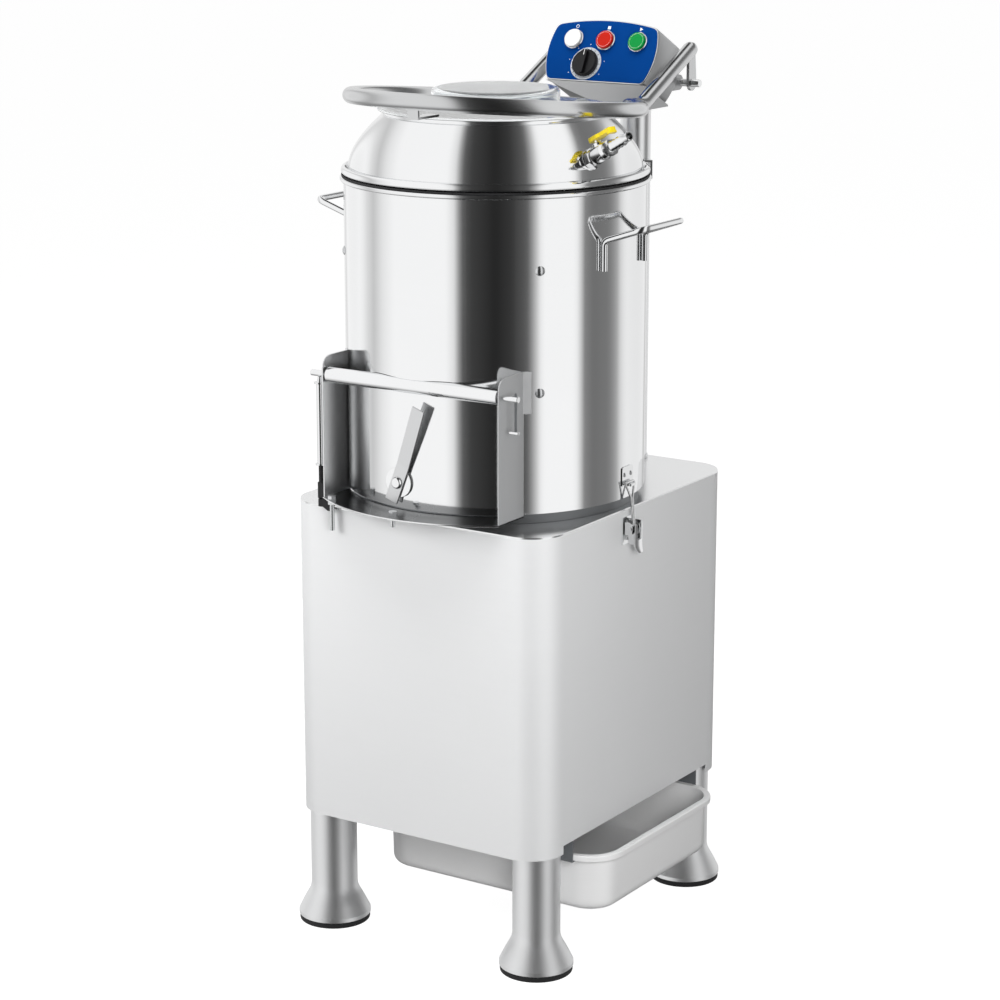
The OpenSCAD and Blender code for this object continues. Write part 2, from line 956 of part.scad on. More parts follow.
module motor_body() {
    color(dark_steel) at_axis() difference() {
        translate([0, motor_y, 0]) {
            translate([0, 0, plate_z - motor_flange_t]) cylinder(r = motor_flange_r, h = motor_flange_t);
            translate([0, 0, plate_z - motor_h]) cylinder(r = motor_r - fin_out, h = motor_h);
            translate([0, 0, plate_z - motor_h]) cylinder(r = motor_r, h = cowl_h);
            translate([0, 0, plate_z - motor_flange_t - end_h]) cylinder(r = motor_r, h = end_h);
            for (i = [0:fin_count - 1]) rotate([0, 0, i * 360 / fin_count])
                translate([motor_r - fin_out - over, -fin_t / 2, plate_z - motor_h + cowl_h / 2])
                    cube([fin_out + over - gap, fin_t, motor_h - cowl_h]);
            translate([-terminal_w / 2, -motor_r - terminal_d / 2, plate_z - motor_h / 2 - terminal_h / 2])
                cube([terminal_w, terminal_d, terminal_h]);
        }
        translate([0, motor_y, plate_z - motor_h / 3 - gap])
            cylinder(r = motor_shaft_r + run, h = motor_h);
        motor_bolt_places() translate([0, 0, plate_z - motor_flange_t - over])
            cylinder(r = bolt_r + fit, h = motor_flange_t + over * 2);
    }
}

module motor_bracket() {
    color(dark_steel) at_axis() difference() {
        union() {
            translate([-plate_w / 2, motor_y - plate_d / 2, plate_z]) cube([plate_w, plate_d, plate_t]);
            for (x = [-plate_w / 2, plate_w / 2 - web_t])
                translate([x, motor_y - plate_d / 2, plate_z])
                    cube([web_t, plate_d, cab_top - deck_t - plate_z]);
        }
        translate([0, motor_y, plate_z - over]) cylinder(r = motor_pulley_r, h = plate_t + over * 2);
        translate([0, 0, plate_z + plate_t]) cylinder(r = driven_r + belt_t + over * 2, h = cab_h);
        translate([0, 0, plate_z - over]) cylinder(r = driven_r + over * 2, h = cab_h);
        motor_bolt_places() translate([0, 0, plate_z - over])
            cylinder(r = bolt_r + fit, h = plate_t + over * 2);
    }
}

module motor_bolts() {
    color(steel) at_axis() motor_bolt_places() {
        translate([0, 0, plate_z - motor_flange_t]) cylinder(r = bolt_r, h = motor_flange_t + plate_t);
        translate([0, 0, plate_z + plate_t]) cylinder(r = bolt_r * 2, h = bolt_r, $fn = 6);
    }
}

// Rim and dome
module rim_gasket() {
    color(rubber_black) at_axis() translate([0, 0, drum_top]) ring(drum_r + over, drum_in, gasket_h);
}

module dome_cover() {
    color(steel) at_axis() difference() {
        rotate_extrude($fn = 144) {
            intersection() {
                translate([dome_mid_r, dome_mid_z]) difference() {
                    circle(dome_r);
                    circle(dome_r - dome_t);
                }
                translate([mouth_r - dome_t, flange_z]) square([drum_r - mouth_r + dome_t, dome_r * 2]);
            }
            translate([dome_mid_r + dome_r - dome_t * 4, flange_z])
                square([flange_out - flange_roll - dome_mid_r - dome_r + dome_t * 4, dome_t]);
            translate([flange_out - flange_roll, flange_z + flange_roll]) circle(flange_roll);
            translate([mouth_r - dome_t, mouth_base - dome_t]) square([dome_t, lip_h + dome_t - lip_roll]);
            translate([mouth_r - lip_roll / 2, lip_top - lip_roll]) circle(lip_roll);
        }
        valve_frame() cylinder(r = valve_neck_r + fit, h = valve_neck_r * 4, center = true);
    }
}

module rim_clips() {
    clip_low = drum_top - bead_r * 2;
    clip_top = flange_z + flange_roll * 2;
    color(steel) at_axis() for (a = [clip_turn, 90, 180 - clip_turn])
        rotate([0, 0, a]) difference() {
            translate([drum_r - over, -clip_w / 2, clip_low - clip_t])
                cube([bead_out + clip_t + over + gap, clip_w, clip_top - clip_low + clip_t * 2]);
            translate([0, 0, clip_low - gap])
                cylinder(r = drum_r + bead_out + gap, h = clip_top - clip_low + gap * 2, $fn = fine);
            translate([0, 0, clip_low - clip_t - over])
                cylinder(r = drum_r + gap, h = clip_t * 2 + over, $fn = fine);
        }
}

module drum_handle(side) {
    foot_x = handle_seat;
    out_x = handle_seat + handle_out;
    low = handle_z;
    high = handle_z + handle_rise;
    color(steel) at_axis() bent_rod([
        [side * foot_x, -handle_half, low],
        [side * foot_x, -handle_half, high],
        [side * out_x, -handle_half, high + handle_tilt],
        [side * out_x, handle_half, high + handle_tilt],
        [side * foot_x, handle_half, high],
        [side * foot_x, handle_half, low]
    ], handle_bend, handle_d / 2);
}

module drum_handle_left() {
    drum_handle(-1);
}

module drum_handle_right() {
    drum_handle(1);
}

// Chute
module cheek(side) {
    high = hinge_z + cheek_top;
    x0 = side > 0 ? chute_w / 2 : -chute_w / 2 - cheek_t;
    translate([x0, 0, 0]) rotate([90, 0, 90]) linear_extrude(cheek_t) {
        translate([-cheek_front, chute_z]) square([cheek_front - drum_r / 2, high - cheek_r - chute_z]);
        translate([-cheek_front + cheek_r, chute_z])
            square([cheek_front - drum_r / 2 - cheek_r, high - chute_z]);
        translate([-cheek_front + cheek_r, high - cheek_r]) circle(cheek_r);
    }
    translate([side > 0 ? chute_w / 2 : -chute_w / 2 - lug_w, -drum_r, high - lug_h])
        cube([lug_w, drum_r / 2, lug_h]);
}

module chute_frame() {
    half = chute_w / 2 + cheek_t;
    color(steel) at_axis() difference() {
        union() {
            for (side = [-1, 1]) cheek(side);
            intersection() {
                translate([0, lip_r - lip_reach, chute_z]) cylinder(r = lip_r, h = chute_floor_t, $fn = 144);
                translate([-half, -lip_reach, chute_z]) cube([half * 2, lip_reach - drum_r / 2, chute_floor_t]);
            }
        }
        translate([0, 0, chute_z - over]) cylinder(r = drum_r + eps, h = cab_h, $fn = 144);
        for (side = [-1, 1]) lug_trim(side);
        translate([-half - over, hinge_y, hinge_z]) rotate([0, 90, 0])
            cylinder(r = pivot_d / 2 + run, h = (half + over) * 2);
        for (bolt = chute_bolts_at) translate([bolt[0], bolt[1], chute_z - over])
            cylinder(r = chute_bolt_r + fit, h = chute_floor_t + over * 2);
    }
}

// The riveted flange at the rear of a cheek is a thin strip of the drum's own curve
module lug_trim(side) {
    translate([0, 0, hinge_z + cheek_top - lug_h - over]) difference() {
        translate([side > 0 ? chute_w / 2 + cheek_t : -chute_w, -drum_r, 0])
            cube([chute_w / 2 - cheek_t, drum_r, lug_h + over * 2]);
        translate([0, 0, -over]) cylinder(r = drum_r + cheek_t, h = lug_h + over * 4, $fn = 144);
    }
}

// Places and lengths below the floor of the bolts through the chute's floor
chute_bolts_at = [
    [chute_bolt_x, -lip_reach + chute_bolt_inset, chute_bolt_drop],
    [long_bolt_x, -cab_front - long_bolt_out, long_bolt_drop]
];

module chute_bolts() {
    color(steel) at_axis() for (bolt = chute_bolts_at) translate([bolt[0], bolt[1], chute_z]) {
        translate([0, 0, -bolt[2]]) cylinder(r = chute_bolt_r, h = bolt[2] + chute_floor_t);
        translate([0, 0, chute_floor_t]) cylinder(r = chute_nut_r, h = chute_nut_h, $fn = 6);
        translate([0, 0, -chute_nut_h]) cylinder(r = chute_nut_r, h = chute_nut_h, $fn = 6);
    }
}

module hinge_rod() {
    half = chute_w / 2 + cheek_t + rod_out;
    color(steel) at_axis() translate([-half, hinge_y, hinge_z]) rotate([0, 90, 0])
        cylinder(r = pivot_d / 2, h = half * 2);
}

module tie_post() {
    post_top = hinge_z - pivot_d / 2;
    post_mid = chute_z + post_low;
    color(steel) at_axis() {
        translate([post_x, hinge_y, post_mid]) cylinder(r = post_r, h = post_top - post_mid);
        translate([post_x, hinge_y, post_mid - over]) cylinder(r = post_r + over, h = over);
        translate([post_x, hinge_y, chute_z - post_drop])
            cylinder(r = chute_bolt_r, h = post_mid - chute_z + post_drop);
        translate([post_x - post_r, hinge_y - post_r, chute_z - foot_t])
            cube([foot_reach + post_r, post_r * 2, foot_t]);
    }
}

module chute_door() {
    half = chute_w / 2 - door_side;
    inner = drum_r + door_gap;
    panel_low = drum_z + liner_z - door_sill;
    strip_z = hinge_z - sleeve_d / 2;
    color(steel) at_axis() difference() {
        union() {
            intersection() {
                translate([0, 0, panel_low]) difference() {
                    cylinder(r = inner + door_t, h = strip_z + door_t - panel_low, $fn = fine);
                    translate([0, 0, -over]) cylinder(r = inner, h = cab_h, $fn = fine);
                }
                translate([-half, -drum_r - door_gap - door_t, panel_low])
                    cube([half * 2, drum_r, strip_z + door_t - panel_low]);
            }
            translate([0, 0, strip_z]) door_strip(half, inner);
            translate([-half, hinge_y, hinge_z]) rotate([0, 90, 0]) cylinder(r = sleeve_d / 2, h = half * 2);
            lever_frame() {
                translate([0, 0, -door_t]) cylinder(r = lever_pin_r, h = door_t + boss_t + lever_t + gap);
                translate([0, 0, boss_t + lever_t + gap]) cylinder(r = pin_head_r, h = pin_head_h, $fn = 6);
            }
        }
        translate([-half - over, hinge_y, hinge_z]) rotate([0, 90, 0])
            cylinder(r = pivot_d / 2 + run, h = (half + over) * 2);
    }
}

// Flat strip between the door's curved panel and its straight hinge sleeve
module door_strip(half, inner) {
    intersection() {
        cylinder(r = inner + eps, h = door_t, $fn = fine);
        translate([-half, -inner - door_t, 0]) cube([half * 2, inner + door_t + hinge_y, door_t]);
    }
    difference() {
        translate([-half, hinge_y, 0]) cube([half * 2, -hinge_y - sqrt(inner * inner - half * half), door_t]);
        translate([0, 0, -over]) cylinder(r = inner + door_t - eps, h = door_t + over * 2, $fn = fine);
    }
}

module lever_frame() {
    translate([lever_x, lever_y, lever_z]) rotate([90, 0, 0]) rotate([0, 0, -lever_turn]) children();
}

module door_lever() {
    color(steel) at_axis() lever_frame() difference() {
        union() {
            translate([0, 0, gap]) cylinder(r = boss_r, h = boss_t - gap);
            translate([-lever_w / 2, -lever_tail, boss_t - eps]) cube([lever_w, lever_tail + lever_l, lever_t]);
        }
        translate([0, 0, -over]) cylinder(r = lever_pin_r + run, h = boss_t + lever_t + over * 2);
    }
}

// Toggle latches, drawn for the right side and mirrored for the left
module on_side(side) {
    color(steel) at_axis() mirror([side > 0 ? 0 : 1, 0, 0]) translate([0, latch_y, 0]) children();
}

module latch_keepers() {
    for (side = [-1, 1]) on_side(side) difference() {
        union() {
            translate([drum_r, -keeper_w / 2, keeper_z]) cube([keeper_t, keeper_w, keeper_h]);
            translate([drum_r, -hook_w / 2, keeper_z]) cube([keeper_t + hook_out, hook_w, hook_t]);
            translate([drum_r + keeper_t + hook_out - hook_t, -hook_w / 2, keeper_z])
                cube([hook_t, hook_w, hook_t + hook_lip]);
            translate([drum_r - over, -keeper_w / 2, keeper_z]) cube([over, keeper_w, keeper_h]);
        }
        translate([0, -latch_y, keeper_z - over])
            cylinder(r = drum_r + eps, h = keeper_h + over * 2, $fn = fine * 2);
    }
}

module latch_bases() {
    for (side = [-1, 1]) on_side(side) {
        translate([cab_w / 2, -base_w / 2, base_top - base_h]) cube([base_t, base_w, base_h]);
        for (y = [-ear_half - ear_t, ear_half])
            translate([cab_w / 2 + base_t - eps, y, toggle_z - toggle_out])
                cube([ear_out, ear_t, toggle_out * 2]);
        for (y = [-ear_half - ear_t, lug_half - ear_t])
            translate([cab_w / 2 + base_t + toggle_out, y, toggle_z]) rotate([-90, 0, 0])
                cylinder(r = toggle_pin_r, h = ear_half + ear_t * 2 - lug_half);
    }
}

module latch_lever(side) {
    pin_x = cab_w / 2 + base_t + toggle_out;
    plate_x = pin_x + toggle_drop / 2 + wire_r;
    on_side(side) difference() {
        union() {
            translate([plate_x, -lug_half, toggle_z - toggle_drop - toggle_l])
                cube([lever_t, lug_half * 2, toggle_l + toggle_drop - toggle_open]);
            for (y = [-lug_half, lug_half - ear_t])
                translate([pin_x - toggle_drop / 2, y, toggle_z - toggle_drop * 5 / 2])
                    cube([plate_x - pin_x + toggle_drop / 2 + eps, ear_t, toggle_drop * 3]);
        }
        translate([pin_x, -lug_half - over, toggle_z]) rotate([-90, 0, 0])
            cylinder(r = toggle_pin_r + run, h = (lug_half + over) * 2);
        translate([pin_x, -lug_half - over, toggle_z - toggle_drop]) rotate([-90, 0, 0])
            cylinder(r = wire_r + run, h = (lug_half + over) * 2);
    }
}

module latch_lever_left() {
    latch_lever(-1);
}

module latch_lever_right() {
    latch_lever(1);
}

module latch_bail(side) {
    pin_x = cab_w / 2 + base_t + toggle_out;
    low = toggle_z - toggle_drop;
    on_side(side) bent_rod([
        [pin_x, -lug_half, low],
        [pin_x, -bail_neck, low],
        [wire_x, -bail_half, wire_z],
        [wire_x, bail_half, wire_z],
        [pin_x, bail_neck, low],
        [pin_x, lug_half, low]
    ], wire_bend / 2, wire_r);
}

module latch_bail_left() {
    latch_bail(-1);
}

module latch_bail_right() {
    latch_bail(1);
}

// Water valve on the dome's right shoulder
module valve_frame() {
    r = dome_mid_r + sqrt(dome_r * dome_r - pow(valve_z - dome_mid_z, 2));
    rotate([0, 0, valve_turn]) translate([r, 0, valve_z]) rotate([0, 90 - valve_rise, 0]) children();
}

module valve_body() {
    end_z = valve_nut_h + valve_body_l;
    tail_z = end_z + valve_end_h;
    color(steel) at_axis() valve_frame() difference() {
        union() {
            translate([0, 0, -valve_neck_r]) cylinder(r = valve_neck_r, h = valve_neck_r + over);
            translate([0, 0, over / 2]) cylinder(r = valve_nut_r, h = valve_nut_h, $fn = 6);
            translate([0, 0, valve_nut_h]) cylinder(r = valve_body_r, h = valve_body_l);
            translate([0, 0, end_z]) cylinder(r = valve_end_r, h = valve_end_h, $fn = 6);
            translate([0, 0, tail_z]) cylinder(r = tail_r, h = tail_l);
            for (i = [0:barb_count - 1])
                translate([0, 0, tail_z + i * barb_l]) cylinder(r1 = barb_r, r2 = tail_r, h = barb_l);
            translate([0, 0, stem_at]) rotate([0, -90, 0]) cylinder(r = stem_r, h = stem_h);
        }
        translate([0, 0, -valve_neck_r - over])
            cylinder(r = tail_in, h = tail_z + tail_l + valve_neck_r + over * 2);
    }
}

module valve_lever() {
    color("gold") at_axis() valve_frame() translate([0, 0, stem_at]) rotate([0, -90, 0])
        translate([0, 0, stem_h - handle_t - over]) difference() {
            union() {
                translate([-handle_back, -handle_w / 2, 0]) cube([handle_l + handle_back, handle_w, handle_t]);
                translate([handle_l - handle_t, -handle_w / 2, -handle_flap + handle_t])
                    cube([handle_t, handle_w, handle_flap]);
                cylinder(r = stem_r + over, h = handle_t + over);
            }
            translate([0, 0, -over]) cylinder(r = stem_r + run, h = handle_t + over * 3);
        }
}

// Column and control head
module column() {
    color(steel) at_axis() translate([column_x, column_y, cab_top]) difference() {
        union() {
            cylinder(d = column_d, h = column_top - cab_top);
            cylinder(r = column_foot_r, h = column_foot_h);
        }
        translate([0, 0, -over]) cylinder(r = column_d / 2 - column_wall, h = column_top - cab_top + over * 2);
    }
}

module panel_frame() {
    translate([0, panel_y, panel_z]) rotate([90 - panel_lean, 0, 0]) children();
}

// Barrel outline: two side arcs and a top arc over a straight lower edge
module panel_outline(grow) {
    half = panel_w / 2 + grow;
    intersection() {
        translate([half - panel_side_r, panel_mid]) circle(panel_side_r, $fn = 180);
        translate([panel_side_r - half, panel_mid]) circle(panel_side_r, $fn = 180);
        translate([0, panel_apex + grow - panel_arch_r]) circle(panel_arch_r, $fn = 360);
        translate([-half, -grow]) square([half * 2, panel_apex + grow * 2]);
    }
}

module control_box() {
    color(satin) at_axis() {
        difference() {
            panel_frame() translate([0, 0, -box_t]) linear_extrude(box_t) panel_outline(box_grow);
            panel_frame() translate([0, 0, -box_t + box_wall]) linear_extrude(box_t)
                panel_outline(box_grow - box_wall);
            translate([column_x, column_y, column_top]) cylinder(r = cable_r, h = box_t / 2);
        }
        for (side = [-1, 1]) hinge_ear(side * ear_x - ear_plate / 2);
    }
}

module hinge_ear(x) {
    difference() {
        translate([x, 0, 0]) union() {
            translate([0, axle_y, axle_z]) rotate([0, 90, 0]) cylinder(r = lug_r, h = ear_plate);
            translate([0, axle_y - lug_r * 2, axle_z - lug_r]) cube([ear_plate, lug_r * 2, lug_r * 2]);
        }
        panel_frame() translate([-panel_w, -panel_w, -box_t + eps]) cube([panel_w * 2, panel_w * 3, box_t * 2]);
        translate([-axle_x, axle_y, axle_z]) rotate([0, 90, 0]) cylinder(r = axle_r + run, h = axle_x * 2);
    }
}

module control_panel() {
    color(panel_blue) at_axis() panel_frame() difference() {
        linear_extrude(panel_t) panel_outline(0);
        for (i = [-1:1]) translate([button_x + i * button_gap, button_v, -over])
            cylinder(r = button_hole_r, h = panel_t + over * 2);
        translate([timer_x, timer_v, -over]) cylinder(r = timer_neck_r + fit, h = panel_t + over * 2);
    }
}

module panel_bezels() {
    color(steel) at_axis() panel_frame() {
        for (i = [-1:1]) translate([button_x + i * button_gap, button_v, panel_t]) difference() {
            union() {
                cylinder(d = bezel_d, h = bezel_h);
                translate([0, 0, -panel_t - barrel_l]) cylinder(r = button_hole_r - fit, h = panel_t + barrel_l + eps);
            }
            translate([0, 0, -panel_t - barrel_l + over]) cylinder(r = barrel_in, h = barrel_l + panel_t + bezel_h);
        }
        translate([timer_x, timer_v, panel_t]) ring(dial_r, timer_neck_r + fit, dial_t);
    }
}

module push_button(i, tint) {
    color(tint) at_axis() panel_frame()
        translate([button_x + i * button_gap, button_v, panel_t + bezel_h - button_back])
            cylinder(r = button_r, h = button_back + button_rise);
}

module button_out() {
    push_button(-1, "white");
}

module button_stop() {
    push_button(0, "firebrick");
}

module button_start() {
    push_button(1, "green");
}

module timer_unit() {
    color("ivory") at_axis() panel_frame() translate([timer_x, timer_v, 0]) difference() {
        union() {
            translate([-timer_w / 2, -timer_h / 2, -timer_t - gap]) cube([timer_w, timer_h, timer_t]);
            translate([0, 0, -gap - eps]) cylinder(r = timer_neck_r, h = panel_t + gap + eps);
        }
        translate([0, 0, -timer_t / 2]) cylinder(r = knob_shaft_r + run, h = timer_t);
    }
}

module timer_knob() {
    color(rubber_black) at_axis() panel_frame() translate([timer_x, timer_v, knob_z]) {
        cylinder(d = knob_d, h = knob_h);
        translate([-knob_bar_w / 2, -knob_d / 2 + over, knob_h - eps])
            cube([knob_bar_w, knob_d - over * 2, knob_bar_h]);
        translate([0, 0, -knob_z - timer_t / 2 + over]) cylinder(r = knob_shaft_r, h = knob_z + timer_t / 2);
    }
}

module contactor() {
    color("ivory") at_axis() panel_frame()
        translate([contactor_x - contactor_w / 2, contactor_v - contactor_h / 2, -box_t + box_wall])
            cube([contactor_w, contactor_h, contactor_t]);
}

module control_bracket() {
    color(satin) at_axis() difference() {
        bracket_body(0);
        bracket_body(bracket_t);
        panel_frame() translate([-panel_w, -box_grow, -box_t * 2]) cube([panel_w * 2, panel_w, box_t * 4]);
        translate([column_x, column_y, bracket_low - over]) cylinder(r = column_d / 2 + fit, h = panel_w);
    }
}

module bracket_body(inset) {
    translate([0, bracket_rear - inset, 0]) rotate([90, 0, 0])
        linear_extrude(bracket_rear - bracket_front - inset * 2) polygon([
            [bracket_left + inset, bracket_low + inset],
            [bracket_right - inset, bracket_low + inset],
            [bracket_right - inset, panel_z + inset],
            [bracket_left_top + inset * 2, panel_z + inset]
        ]);
}

// Lid frame and lid
module hinge_axle() {
    color(steel) at_axis() translate([-axle_x, axle_y, axle_z]) rotate([0, 90, 0])
        cylinder(r = axle_r, h = axle_x * 2);
}

// In the ring's own plane the ring ends where an outward bend leads into an arm
bend_y = sqrt(pow(hoop_r + arm_bend, 2) - pow(arm_x + arm_bend, 2));
leave_turn = atan2(bend_y, arm_x + arm_bend);
bend_turn = 90 - leave_turn;

module hoop_plane() {
    translate([0, 0, hoop_z]) rotate([-hoop_tilt, 0, 0]) children();
}

module lid_hoop() {
    open_turn = 180 - leave_turn;
    slope = [0, cos(hoop_tilt), -sin(hoop_tilt)];
    color(steel) at_axis() {
        hoop_plane() {
            rotate([0, 0, open_turn]) rotate_extrude(angle = 360 - bend_turn * 2)
                translate([hoop_r, 0]) circle(hoop_tube_r);
            for (side = [0, 1]) mirror([side, 0, 0]) {
                rotate([0, 0, leave_turn]) translate([hoop_r, 0, 0]) sphere(hoop_tube_r + seam);
                translate([arm_x + arm_bend, bend_y, 0]) rotate([0, 0, 180])
                    rotate_extrude(angle = leave_turn) translate([arm_bend, 0]) circle(hoop_tube_r);
            }
        }
        for (side = [-1, 1]) {
            start = [side * arm_x, 0, hoop_z] + slope * bend_y;
            translate(start) sphere(hoop_tube_r + seam);
            bent_rod([
                start,
                start + slope * arm_bend / 2,
                [side * arm_x, arm_end_y, arm_end_z]
            ], arm_bend, hoop_tube_r);
            translate([side * arm_x, arm_end_y, arm_end_z]) sphere(hoop_tube_r + seam);
            hoop_lug(side);
        }
        for (a = [-90, 0, 180]) hoop_tab(a);
    }
}

module hoop_lug(side) {
    difference() {
        translate([side * arm_x - lug_t / 2, 0, 0]) union() {
            translate([0, axle_y, axle_z]) rotate([0, 90, 0]) cylinder(r = lug_r, h = lug_t);
            translate([0, axle_y - lug_r, axle_z]) cube([lug_t, lug_r * 2 - over * 2, arm_end_z - axle_z]);
        }
        translate([-axle_x, axle_y, axle_z]) rotate([0, 90, 0]) cylinder(r = axle_r + run, h = axle_x * 2);
    }
}

module hoop_tab(a) {
    low = lip_top + lid_gap + lid_t;
    rise = -sin(a) * sin(hoop_tilt) * hoop_r + hoop_z - hoop_tube_r / 2;
    rotate([0, 0, a]) {
        translate([tab_in, -tab_w / 2, low]) cube([hoop_r - tab_in, tab_w, tab_t]);
        translate([hoop_r - tab_t, -tab_w / 2, low]) cube([tab_t, tab_w, max(tab_t, rise - low + over)]);
    }
}

module clear_lid() {
    low = lip_top + lid_gap;
    color([0.85, 0.9, 0.92, 0.4]) at_axis() translate([0, 0, low]) difference() {
        union() {
            cylinder(r = lid_out, h = lid_t);
            cylinder(d = crown_d, h = crown_h);
        }
        translate([0, 0, -over]) cylinder(r = crown_d / 2 - lid_t, h = crown_h - lid_t + over);
    }
}

cabinet_shell();
top_deck();
rear_cover();
rear_cover_screws();
cable_gland();
base_frame();
legs();
foot_rings();
peel_tray();
waste_duct();
drum_shell();
drum_floor();
abrasive_liner();
liner_screws();
abrasive_disc();
disc_nut();
main_shaft();
bearing_housing();
bearings();
shaft_seal();
driven_pulley();
drive_belt();
motor_pulley();
motor_shaft();
motor_body();
motor_bracket();
motor_bolts();
rim_gasket();
dome_cover();
rim_clips();
drum_handle_left();
drum_handle_right();
chute_frame();
chute_bolts();
hinge_rod();
tie_post();
chute_door();
door_lever();
latch_keepers();
latch_bases();
latch_lever_left();
latch_lever_right();
latch_bail_left();
latch_bail_right();
valve_body();
valve_lever();
column();
control_bracket();
control_box();
control_panel();
panel_bezels();
button_out();
button_stop();
button_start();
timer_unit();
timer_knob();
contactor();
hinge_axle();
lid_hoop();
clear_lid();
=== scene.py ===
"""Electric potato peeler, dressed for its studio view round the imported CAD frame.

Shapes are worked out in millimetres from the drum's upright axis at floor level, with +X to the
right, -Y to the front and +Z up. Shape.piece turns them into metres in the frame's own place.
"""

import logging
from dataclasses import dataclass, field
from enum import Enum
from typing import Any, Callable, Optional, Sequence

import bmesh
import bpy
import numpy as np
from mathutils import Euler, Matrix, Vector
from mathutils.geometry import tessellate_polygon


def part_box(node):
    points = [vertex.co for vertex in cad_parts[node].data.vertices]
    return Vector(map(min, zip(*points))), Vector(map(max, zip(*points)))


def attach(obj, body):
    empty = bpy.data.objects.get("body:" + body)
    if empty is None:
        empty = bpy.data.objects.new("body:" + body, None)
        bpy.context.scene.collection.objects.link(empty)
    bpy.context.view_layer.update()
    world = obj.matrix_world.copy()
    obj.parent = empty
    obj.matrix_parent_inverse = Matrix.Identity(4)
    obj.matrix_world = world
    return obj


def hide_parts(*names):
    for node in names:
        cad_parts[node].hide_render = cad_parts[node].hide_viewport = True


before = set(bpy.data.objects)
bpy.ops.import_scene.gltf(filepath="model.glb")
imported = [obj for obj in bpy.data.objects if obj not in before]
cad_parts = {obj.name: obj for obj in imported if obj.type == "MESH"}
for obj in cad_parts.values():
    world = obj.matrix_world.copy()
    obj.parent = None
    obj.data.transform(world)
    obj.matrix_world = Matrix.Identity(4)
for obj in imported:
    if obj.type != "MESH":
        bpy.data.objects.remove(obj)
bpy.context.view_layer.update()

Array = np.ndarray
Colour = tuple[float, float, float]
log = logging.getLogger("peeler")

MM = 0.001
ROOT = "root"
RIGHT = np.array([1.0, 0.0, 0.0])
BACK = np.array([0.0, 1.0, 0.0])
UP = np.array([0.0, 0.0, 1.0])
# The radius at which turned profiles start, the angle of a sharp edge and the distance of doubles
CORE = 0.01
CREASE = np.radians(32)
MERGE = 0.004


def drum_axis() -> Array:
    """Returns the drum's axis at floor level, in metres in the frame, from the abrasive disc's box."""
    low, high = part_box("abrasive_disc")
    return np.array([(low.x + high.x) / 2, (low.y + high.y) / 2, 0.0])


AXIS = drum_axis()


def span(node: str) -> tuple[Array, Array]:
    """Returns a CAD node's lowest and highest corners in millimetres from the drum's axis."""
    low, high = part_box(node)
    return (np.array(low) - AXIS) / MM, (np.array(high) - AXIS) / MM


def unit(vector: Array) -> Array:
    """Returns vectors scaled to length one, along the last axis."""
    vector = np.asarray(vector, float)
    return vector / np.linalg.norm(vector, axis=-1, keepdims=True)


@dataclass
class Place:
    """A local set of axes: a point at (u, v, w) lies at origin + u x + v y + w z."""

    origin: Array = field(default_factory=lambda: np.zeros(3))
    x: Array = field(default_factory=lambda: RIGHT)
    y: Array = field(default_factory=lambda: BACK)

    @property
    def z(self) -> Array:
        """Returns the third axis, square to the other two."""
        return np.cross(self.x, self.y)

    def put(self, points: Array) -> Array:
        """Returns local points carried to where the place is."""
        points = np.asarray(points, float)
        return self.origin + points @ np.stack([self.x, self.y, self.z])

    def moved(self, u: float = 0, v: float = 0, w: float = 0) -> "Place":
        """Returns the same axes with the origin moved along them."""
        return Place(self.put(np.array([u, v, w])), self.x, self.y)


def along(origin: Sequence[float], direction: Sequence[float]) -> Place:
    """Returns a place whose z axis points along a direction.

    Args:
        origin: the place's origin.
        direction: where its z axis points.

    Returns:
        The place.
    """
    z = unit(np.array(direction, float))
    side = UP if abs(z[2]) < 0.7 else BACK
    x = unit(np.cross(side, z))
    return Place(np.array(origin, float), x, np.cross(z, x))


WORLD = Place()


def arc(centre: Sequence[float], radius: float, start: float, end: float, steps: int = 12) -> Array:
    """Returns points on a flat arc: centre + radius (cos t, sin t), with t in degrees from start to end."""
    t = np.radians(np.linspace(start, end, steps + 1))
    return np.stack([centre[0] + radius * np.cos(t), centre[1] + radius * np.sin(t)], axis=-1)


